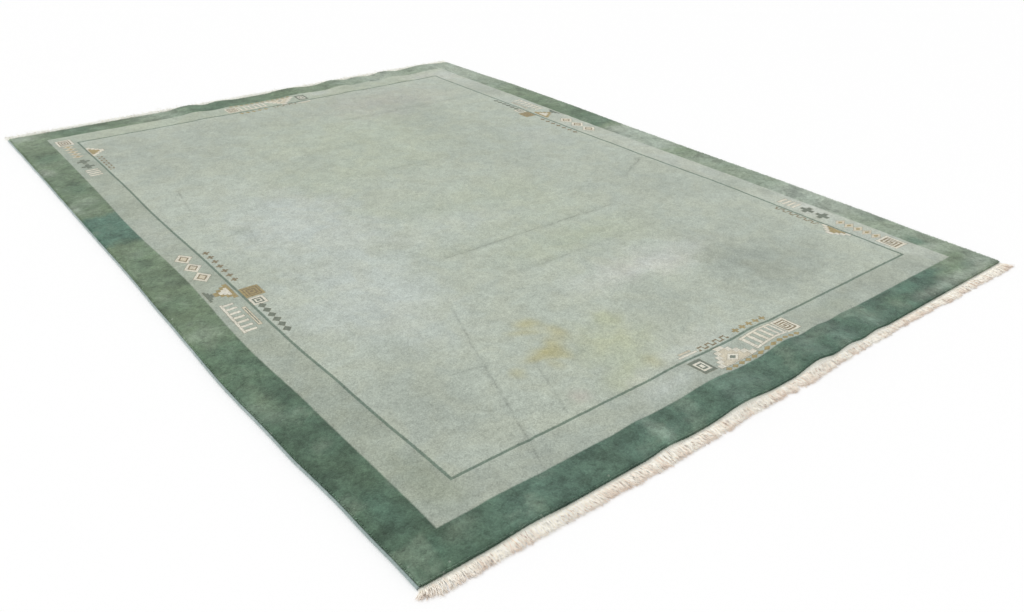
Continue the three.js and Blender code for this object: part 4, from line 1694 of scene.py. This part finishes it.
@dataclass
class RimTufts:
    """Cut ends of wool that stand out of the slab's rim, at the ends or along the sides."""

    layout: Layout
    wear_and_shade: WearAndShade
    rim: Rim
    spacing: float = 3.4 * MM
    margin: float = 4 * MM
    heights: tuple[float, ...] = (2.8 * MM, 5.0 * MM, 7.4 * MM, 9.6 * MM)
    height_scatter: float = 0.8 * MM
    length: float = 3.0 * MM
    length_range: tuple[float, float] = (0.5, 1.15)
    lean: float = 0.3
    rise: float = 0.1
    rise_higher: float = 0.07
    root_radius: float = 1.9 * MM
    tip_radius: float = 0.7 * MM
    radius_range: tuple[float, float] = (0.8, 1.1)
    sides: int = 4
    sink: float = 2.4 * MM
    shade_range: tuple[float, float] = (0.88, 1.08)
    end_shade: float = 1.02
    side_shade: float = 1.30
    rising_shade: float = 0.02
    seed: int = 31

    def build(self) -> bpy.types.Object:
        """Builds and dresses the tufts.

        Returns:
            The piece.
        """
        draws = np.random.default_rng(self.seed)
        layout = self.layout
        u, v, out_u, out_v = self._rim(draws)
        x, y = layout.place(u, v)
        z = np.concatenate([np.full(len(u) // len(self.heights), h) for h in self.heights])
        z = z + draws.uniform(-self.height_scatter, self.height_scatter, len(u))
        out = np.stack([out_u, out_v, np.zeros_like(out_u)], axis=1)
        along = np.stack([-out_v, out_u, np.zeros_like(out_u)], axis=1)
        rise = (self.rise + self.rise_higher * z / MM)[:, None] * np.array([0.0, 0.0, 1.0])
        reach = (self.length * draws.uniform(*self.length_range, len(u)))[:, None]
        lean = draws.normal(0, self.lean, len(u))[:, None]
        root = layout.in_frame(x, y, z + layout.lift(x, y)) - out * self.sink
        way = out + along * lean + rise
        middle = root + out * self.sink + way * reach * 0.2
        tip = middle + (way + rise * 0.6) * reach * 0.55
        paths = np.stack([root, middle, tip], axis=1)
        size = draws.uniform(*self.radius_range, len(u))[:, None]
        radii = size * np.array([self.root_radius, self.root_radius * 0.9, self.tip_radius])
        paths[:, :, 2] = np.maximum(paths[:, :, 2], radii)
        at_end = np.abs(out_v) > 0.5
        lit = np.where(at_end, self.end_shade, self.side_shade) + self.rising_shade * z / MM
        shade = draws.uniform(*self.shade_range, len(u)) * lit
        here = at_end if self.rim is Rim.ENDS else ~at_end
        mesh = tubes(paths[here], radii[here], self.sides)
        points = paths.shape[1] * self.sides
        u, v, shade = (np.repeat(values[here], points) for values in (u, v, shade))
        write_drawing(mesh, u, v)
        write_colour(mesh, GROUND_TONE, self.wear_and_shade.ground(layout, u, v) * shade[:, None])
        write_colour(mesh, BORDER_TONE, self.wear_and_shade.border(layout, u, v) * shade[:, None])
        part = self.rim.value
        made = new_piece(f"pile_rim_{part}", mesh, [PileFinish(layout, ()).material(f"wool_rim_{part}")])
        return made

    def _rim(self, draws: np.random.Generator) -> tuple[Array, ...]:
        """Places all the way round the rim, once for each height, with the way out at each."""
        layout = self.layout
        across, along = (
            np.arange(self.margin - edge, edge - self.margin, self.spacing)
            for edge in (layout.outline_u, layout.outline_v)
        )
        runs = [(across, end.value * layout.outline_v, 0.0, end.value) for end in End]
        runs += [(side.value * layout.outline_u, along, side.value, 0.0) for side in Side]
        rows = np.hstack([np.stack(np.broadcast_arrays(*run)) for run in runs])
        u, v, out_u, out_v = np.tile(rows, len(self.heights))
        slide = draws.uniform(-0.5, 0.5, len(u)) * self.spacing
        return u + np.abs(out_v) * slide, v + np.abs(out_u) * slide, out_u, out_v


@dataclass
class SideCord:
    """The overcast cord along one side: wool wound round the outermost warps."""

    layout: Layout
    side: Side
    wrap: float = 3.2 * MM
    sides: int = 8
    ridge: float = 0.35 * MM
    bend: float = 0.5 * MM
    aged_places: tuple[float, ...] = (-1.7, -0.6, 1.7)
    aged: tuple[float, ...] = (0.75, 0.35, 0.1)
    waver: Lumps = Lumps(41, 0.08)
    slack: Lumps = Lumps(42, 0.006, 2)

    def build(self) -> bpy.types.Object:
        """Builds and dresses the cord.

        Returns:
            The piece.
        """
        layout = self.layout
        near, far = (float(layout.end_line(end, self.side.value * layout.line_corner)) for end in End)
        wraps = round((far - near) / self.wrap)
        shape = bmesh.new()
        bmesh.ops.create_circle(shape, cap_ends=True, segments=self.sides, radius=1.0)
        rings = wraps * 2
        self._drawn_out(shape, rings)
        mesh = meshed(shape, "side_cord")
        flat = points_of(mesh)
        y = near + (far - near) * flat[:, 2] / rings
        ridge = self.ridge * np.cos(flat[:, 2] * math.pi) + 0.5 * self.ridge * self.slack(y, flat[:, 0])
        radius = layout.cord_radius - self.ridge + ridge
        axis = self.side.value * (layout.outline(self.side, y) - layout.cord_radius)
        lift = layout.lift(axis, y)
        bend = self.bend * self.waver(y, np.full_like(y, self.side.value))
        x = axis + bend + flat[:, 0] * radius
        z = lift + layout.cord_radius + flat[:, 1] * radius
        move_points(mesh, layout.in_frame(x, y, np.maximum(z, 0.0)))
        worn = 0.5 + 0.5 * self.waver(y * 3, y)
        age = np.clip(eased(y, self.aged_places, self.aged) + 0.2 * self.slack(y, y), 0, 1)
        write_colour(mesh, YARN_TONE, np.stack([np.clip(worn, 0, 1), age, 0 * age], axis=1))
        wool = YarnFinish(
            "overcast_wool", (190, 200, 199), (164, 178, 175), (146, 163, 160), 0.004, (1.0, 0.35, 1.0)
        )
        name = self.side.name.lower()
        made = new_piece(f"side_cord_{name}", mesh, [wool.material()])
        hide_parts(f"selvedge_{name}")
        return made

    @staticmethod
    def _drawn_out(shape: bmesh.types.BMesh, rings: int) -> None:
        """Draws a disc out into a closed rod with the given number of rings, a unit apart."""
        draw_up(shape, rings)
        upright = [
            edge for edge in shape.edges if abs(edge.verts[0].co.z - edge.verts[1].co.z) > rings / 2
        ]
        bmesh.ops.subdivide_edges(shape, edges=upright, cuts=rings - 1, use_grid_fill=True)
        bmesh.ops.recalc_face_normals(shape, faces=shape.faces)


@dataclass
class EndStrip:
    """The flat-woven strip beyond one end of the pile, ribbed by its warps."""

    layout: Layout
    end: End
    rib: float = 3.1 * MM
    rows: int = 5
    rib_height: float = 0.35 * MM
    fray: float = 0.6 * MM
    thinning: float = 0.8 * MM
    under_gap: float = 0.15 * MM
    frayed: Lumps = Lumps(51, 0.02)
    dull: Lumps = Lumps(52, 0.05)

    def build(self) -> bpy.types.Object:
        """Builds and dresses the strip.

        Returns:
            The piece.
        """
        layout = self.layout
        left, right = layout.strip_span(self.end)
        ribs = round((right - left) / self.rib)
        shape = bmesh.new()
        middle = Matrix.Translation((0.5, 0.5, 0))
        bmesh.ops.create_grid(shape, x_segments=ribs * 2, y_segments=self.rows, size=0.5, matrix=middle)
        draw_up(shape, 1)
        bmesh.ops.recalc_face_normals(shape, faces=shape.faces)
        mesh = meshed(shape, "end_strip")
        flat = points_of(mesh)
        x = left + (right - left) * flat[:, 0]
        share = flat[:, 1] if self.end is End.FAR else 1 - flat[:, 1]
        depth = layout.clearance + share * (layout.strip_depth - layout.clearance)
        depth = depth + share * self.fray * self.frayed(x, depth)
        ribbed = np.cos(flat[:, 0] * ribs * math.tau)
        weft = np.cos(share * self.rows * math.pi)
        ribs_high = self.rib_height * ribbed * (0.6 + 0.4 * weft)
        thick = layout.strip_thickness - self.thinning * share + ribs_high
        z = layout.strip_height(self.end, x, depth) + np.where(flat[:, 2] > 0.5, thick, self.under_gap)
        y = layout.end_line(self.end, x) + self.end.value * depth
        move_points(mesh, layout.in_frame(x, y, z))
        # the hollows between the ribs lean to the duller tone, a painted shade; the rest of the tone varies
        # at random
        tone = np.clip(0.45 + 0.3 * self.dull(x, depth) - 0.15 * ribbed, 0, 1)
        age = np.clip(1 - 1.1 * share, 0, 1) * 0.75
        write_colour(mesh, YARN_TONE, np.stack([tone, age, 0 * age], axis=1))
        cotton = YarnFinish(
            "flat_woven_cotton", (250, 247, 237), (234, 228, 214), (228, 232, 220), 0.003, (1.0, 0.5, 1.0)
        )
        name = self.end.name.lower()
        made = new_piece(f"end_strip_{name}", mesh, [cotton.material()])
        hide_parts(f"fringe_{name}")
        return made


@dataclass
class Fringe:
    """The warp ends that stand out of one strip: three loose plies to each end."""

    layout: Layout
    end: End
    yarns: int = 1150
    plies: int = 3
    steps: int = 6
    sides: int = 4
    radius: float = 0.90 * MM
    radius_range: tuple[float, float] = (0.65, 1.2)
    taper: tuple[float, ...] = (1.0, 1.0, 0.98, 0.92, 0.8, 0.35)
    margin: float = 1.5 * MM
    root_scatter: float = 0.7 * MM
    root_height: float = 2.3 * MM
    reach_ragged: float = 2.4 * MM
    reach_uneven: float = 2.0 * MM
    reach_scatter: float = 1.2 * MM
    short_by: float = 8 * MM
    ply_short_by: float = 4.5 * MM
    clump: int = 5
    gather: float = 0.35
    clump_sway: float = 0.9 * MM
    yarn_sway: float = 1.4 * MM
    splay: float = 3.2 * MM
    curl: float = 2.8 * MM
    layer: float = 5.2 * MM
    wave: float = 0.9 * MM
    stray_above: float = 0.93
    stray_height: float = 2.4 * MM
    near_reach: tuple[tuple[float, float], ...] = (
        (-1.227, 0.026), (-1.205, 0.038), (-1.180, 0.045), (-1.0, 0.047), (-0.8, 0.047), (-0.55, 0.055),
        (-0.4, 0.052), (-0.2, 0.045), (0.06, 0.049), (0.3, 0.038), (0.7, 0.039), (0.85, 0.047),
        (1.22, 0.051),
    )
    far_reach: tuple[tuple[float, float], ...] = (
        (-1.22, 0.050), (-0.8, 0.053), (-0.4, 0.055), (0.06, 0.050), (0.7, 0.055), (1.22, 0.052),
    )
    near_lean: tuple[tuple[float, float], ...] = (
        (-1.227, -0.021), (-1.200, -0.010), (-1.160, -0.003), (-0.7, 0.003), (0.0, -0.003), (0.7, 0.003),
        (1.16, 0.003), (1.22, 0.016),
    )
    far_lean: tuple[tuple[float, float], ...] = (
        (-1.22, -0.010), (-1.16, -0.002), (0.0, 0.003), (1.16, 0.002), (1.22, 0.010),
    )
    specked: float = 0.05
    overlap: float = 12 * MM
    near_bush: float = 0.8 * MM
    far_bush: float = 10 * MM
    near_crown: float = 0.4
    far_crown: float = 0.7
    notches: tuple[float, ...] = (0.0, 0.95)
    notch_half_width: float = 12 * MM
    notch_depth: float = 14 * MM
    ragged: Lumps = Lumps(61, 0.05)
    seed: int = 62

    def build(self) -> bpy.types.Object:
        """Builds and dresses the fringe.

        Returns:
            The piece.
        """
        draws = np.random.default_rng(self.seed + self.end.value)
        root, reach, lean = self._yarns(draws)
        along = np.linspace(0, 1, self.steps)
        paths, radii = self._plies(draws, root, reach, lean, along)
        mesh = tubes(paths, radii, self.sides)
        each = self.steps * self.sides
        count = len(paths)
        grubby = self.ragged(paths[:, 0, 0] * 2.5 + 3, radii[:, 0])
        tone = np.clip(draws.beta(0.8, 2.4, count) + 0.15 * grubby, 0, 1)
        tip = np.tile(np.repeat(along, self.sides), count)
        age = np.clip((0.2 * tip + 0.5 * tip**4) * np.repeat(0.7 + 0.5 * grubby, each), 0, 1)
        chance = self.specked * (0.4 + 1.2 * along)
        # a few ply sections, more of them towards the tips, get dark brown spots
        dark_spots = np.repeat(draws.uniform(0, 1, (self.yarns, self.steps)) < chance, self.plies, axis=0)
        speck = np.repeat((0.8 * dark_spots * draws.uniform(0.4, 1, dark_spots.shape)).ravel(), self.sides)
        write_colour(mesh, YARN_TONE, np.stack([np.repeat(tone, each), age, speck], axis=1))
        near = self.end is End.NEAR
        cotton = YarnFinish(
            "loose_warp_cotton" if near else "bleached_warp_cotton",
            clean=(255, 253, 244) if near else (255, 255, 248),
            dull=(238, 223, 205) if near else (244, 242, 230),
            tip=(230, 211, 194) if near else (232, 232, 220),
            grain=0.0022,
            stretch=(1.0, 0.4, 1.0),
            sheen=0.35,
            bright=1.0,
        )
        name = self.end.name.lower()
        made = new_piece(f"fringe_yarns_{name}", mesh, [cotton.material()])
        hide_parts(f"fringe_{name}")
        return made

    def _yarns(self, draws: np.random.Generator) -> tuple[Array, Array, Array]:
        """Where each yarn is rooted, how far it reaches and how far its tip leans aside."""
        left, right = self.layout.strip_span(self.end)
        even = np.linspace(left + self.margin, right - self.margin, self.yarns)
        root = even + draws.uniform(-self.root_scatter, self.root_scatter, self.yarns)
        near = self.end is End.NEAR
        reach = eased(root, *zip(*(self.near_reach if near else self.far_reach)))
        ragged = self.ragged(root, np.full_like(root, self.end.value))
        reach = reach + self.reach_ragged * ragged + self.reach_uneven * self.ragged(root * 3, root)
        reach = reach + draws.normal(0, self.reach_scatter, self.yarns)
        reach = reach - self.short_by * draws.beta(1, 3, self.yarns)
        if near:
            for place in self.notches:
                reach = reach - self.notch_depth * hump((root - place) / self.notch_half_width)
        lean = eased(root, *zip(*(self.near_lean if near else self.far_lean)))
        group = np.arange(self.yarns) // self.clump
        groups = group[-1] + 1
        middle = np.bincount(group, root) / np.bincount(group)
        gather = draws.uniform(0, self.gather, groups)[group] * (middle[group] - root)
        sway = draws.normal(0, self.clump_sway, groups)[group]
        return root, reach, lean + gather + sway + draws.normal(0, self.yarn_sway, self.yarns)

    def _plies(
        self, draws: np.random.Generator, root: Array, reach: Array, lean: Array, along: Array
    ) -> tuple[Array, Array]:
        """Paths and radii of all plies, splayed a little from their yarns.

        Args:
            draws: Where the scatter comes from.
            root: Each yarn's place across the rug.
            reach: How far each yarn reaches out from the end line.
            lean: How far each yarn's tip leans aside.
            along: The shares along a ply at which it has points.

        Returns:
            Points and radii, for each ply and each share.
        """
        layout = self.layout
        root, reach, lean = (np.repeat(values, self.plies)[:, None] for values in (root, reach, lean))
        count = len(root)
        splay = draws.normal(0, self.splay, (count, 1))
        turned = np.sin(along * math.tau + draws.uniform(0, 6, (count, 1)))
        curl = draws.normal(0, self.curl, (count, 1)) * turned
        x = root + (lean + splay) * along**1.5 + curl * along
        start = layout.strip_depth - self.overlap * draws.uniform(0.3, 1, (count, 1))
        length = reach - start - draws.uniform(0, self.ply_short_by, (count, 1))
        depth = start + length * along
        rooted = layout.strip_height(self.end, root, start) + self.root_height
        layer = self.radius * 0.9 + draws.uniform(0, self.layer, (count, 1)) * (1 - 0.4 * along)
        layer = layer + self.wave * np.cos(along * math.tau * 1.3 + draws.uniform(0, 6, (count, 1)))
        settle = eased(along, (0.0, 0.45), (0, 1))[None]
        near = self.end is End.NEAR
        bush, crown = (self.near_bush, self.near_crown) if near else (self.far_bush, self.far_crown)
        arch = bush * hump((along - crown) / 0.6)[None]
        z = rooted + (layer - rooted) * settle + arch * draws.uniform(0, 1, (count, 1))
        stray = draws.uniform(0, 1, (count, 1)) > self.stray_above
        z = z + stray * (self.stray_height + bush) * along**2
        thick = self.radius * draws.uniform(*self.radius_range, (count, 1)) * np.array(self.taper)
        z = np.maximum(z, thick)
        y = layout.end_line(self.end, root) + self.end.value * depth
        return layout.in_frame(x, y, z), thick


@dataclass
class Studio:
    """The camera, the floor and the soft light."""

    layout: Layout
    camera_place: tuple[float, float, float] = (-1.88042, -2.76950, 1.37638)
    heading: float = 39.276
    tilt_down: float = 29.621
    roll: float = 1.069
    lens: float = 30.81
    sensor: float = 36.0
    floor_size: float = 30.0
    floor_gap: float = 0.5 * MM
    sky: float = 0.78
    lamp_strength: float = 0.95
    lamp_spread: float = 40.0
    lamp_from: tuple[float, float, float] = (-2.6, 3.2, 4.4)

    def set_camera(self) -> None:
        """Makes the camera, at the angle of the reference view."""
        data = bpy.data.cameras.new("camera")
        data.lens = self.lens
        data.sensor_width = self.sensor
        camera = bpy.data.objects.new("camera", data)
        turn = Matrix.Rotation(math.radians(-self.heading), 4, "Z")
        turn = turn @ Matrix.Rotation(math.radians(90 - self.tilt_down), 4, "X")
        turn = turn @ Matrix.Rotation(math.radians(self.roll), 4, "Z")
        place = Vector(self.camera_place) + Vector(self.layout.shift)
        camera.matrix_world = Matrix.Translation(place) @ turn
        bpy.context.scene.collection.objects.link(camera)
        bpy.context.scene.camera = camera

    def build(self) -> bpy.types.Object:
        """Makes the floor and the light.

        Returns:
            The floor.
        """
        self._sky()
        self._lamp()
        bpy.context.scene.view_settings.view_transform = "Standard"
        shape = bmesh.new()
        below = Matrix.Translation((0, 0, -self.floor_gap))
        bmesh.ops.create_grid(shape, x_segments=8, y_segments=8, size=self.floor_size / 2, matrix=below)
        mesh = meshed(shape, "floor")
        mesh.materials.append(FloorFinish().material())
        floor = bpy.data.objects.new("floor", mesh)
        bpy.context.scene.collection.objects.link(floor)
        return floor

    def _sky(self) -> None:
        """Even white light from all round."""
        world = bpy.data.worlds.new("studio")
        world.use_nodes = True
        light = world.node_tree.nodes["Background"].inputs
        light["Color"].default_value = (1, 1, 1, 1)
        light["Strength"].default_value = self.sky
        bpy.context.scene.world = world

    def _lamp(self) -> None:
        """One large soft lamp, high up and far off beyond the far left corner."""
        data = bpy.data.lights.new("lamp", "SUN")
        data.energy = self.lamp_strength
        data.angle = math.radians(self.lamp_spread)
        light = bpy.data.objects.new("lamp", data)
        place = Vector(self.lamp_from)
        facing = (-place).to_track_quat("-Z", "Y").to_matrix().to_4x4()
        light.matrix_world = Matrix.Translation(place) @ facing
        bpy.context.scene.collection.objects.link(light)


def main() -> None:
    """Builds the rug piece by piece."""
    logging.basicConfig(level=logging.INFO, format="%(message)s")
    layout, wear_and_shade = Layout(), WearAndShade()
    studio = Studio(layout)
    studio.set_camera()
    slab = PileRug(layout, wear_and_shade).build()
    builders = [
        *(RimTufts(layout, wear_and_shade, rim) for rim in Rim),
        *(SideCord(layout, side) for side in Side),
        *(EndStrip(layout, end) for end in End),
        *(Fringe(layout, end) for end in End),
    ]
    trim = [builder.build() for builder in builders]
    floor = studio.build()


if __name__ == "__main__":
    main()
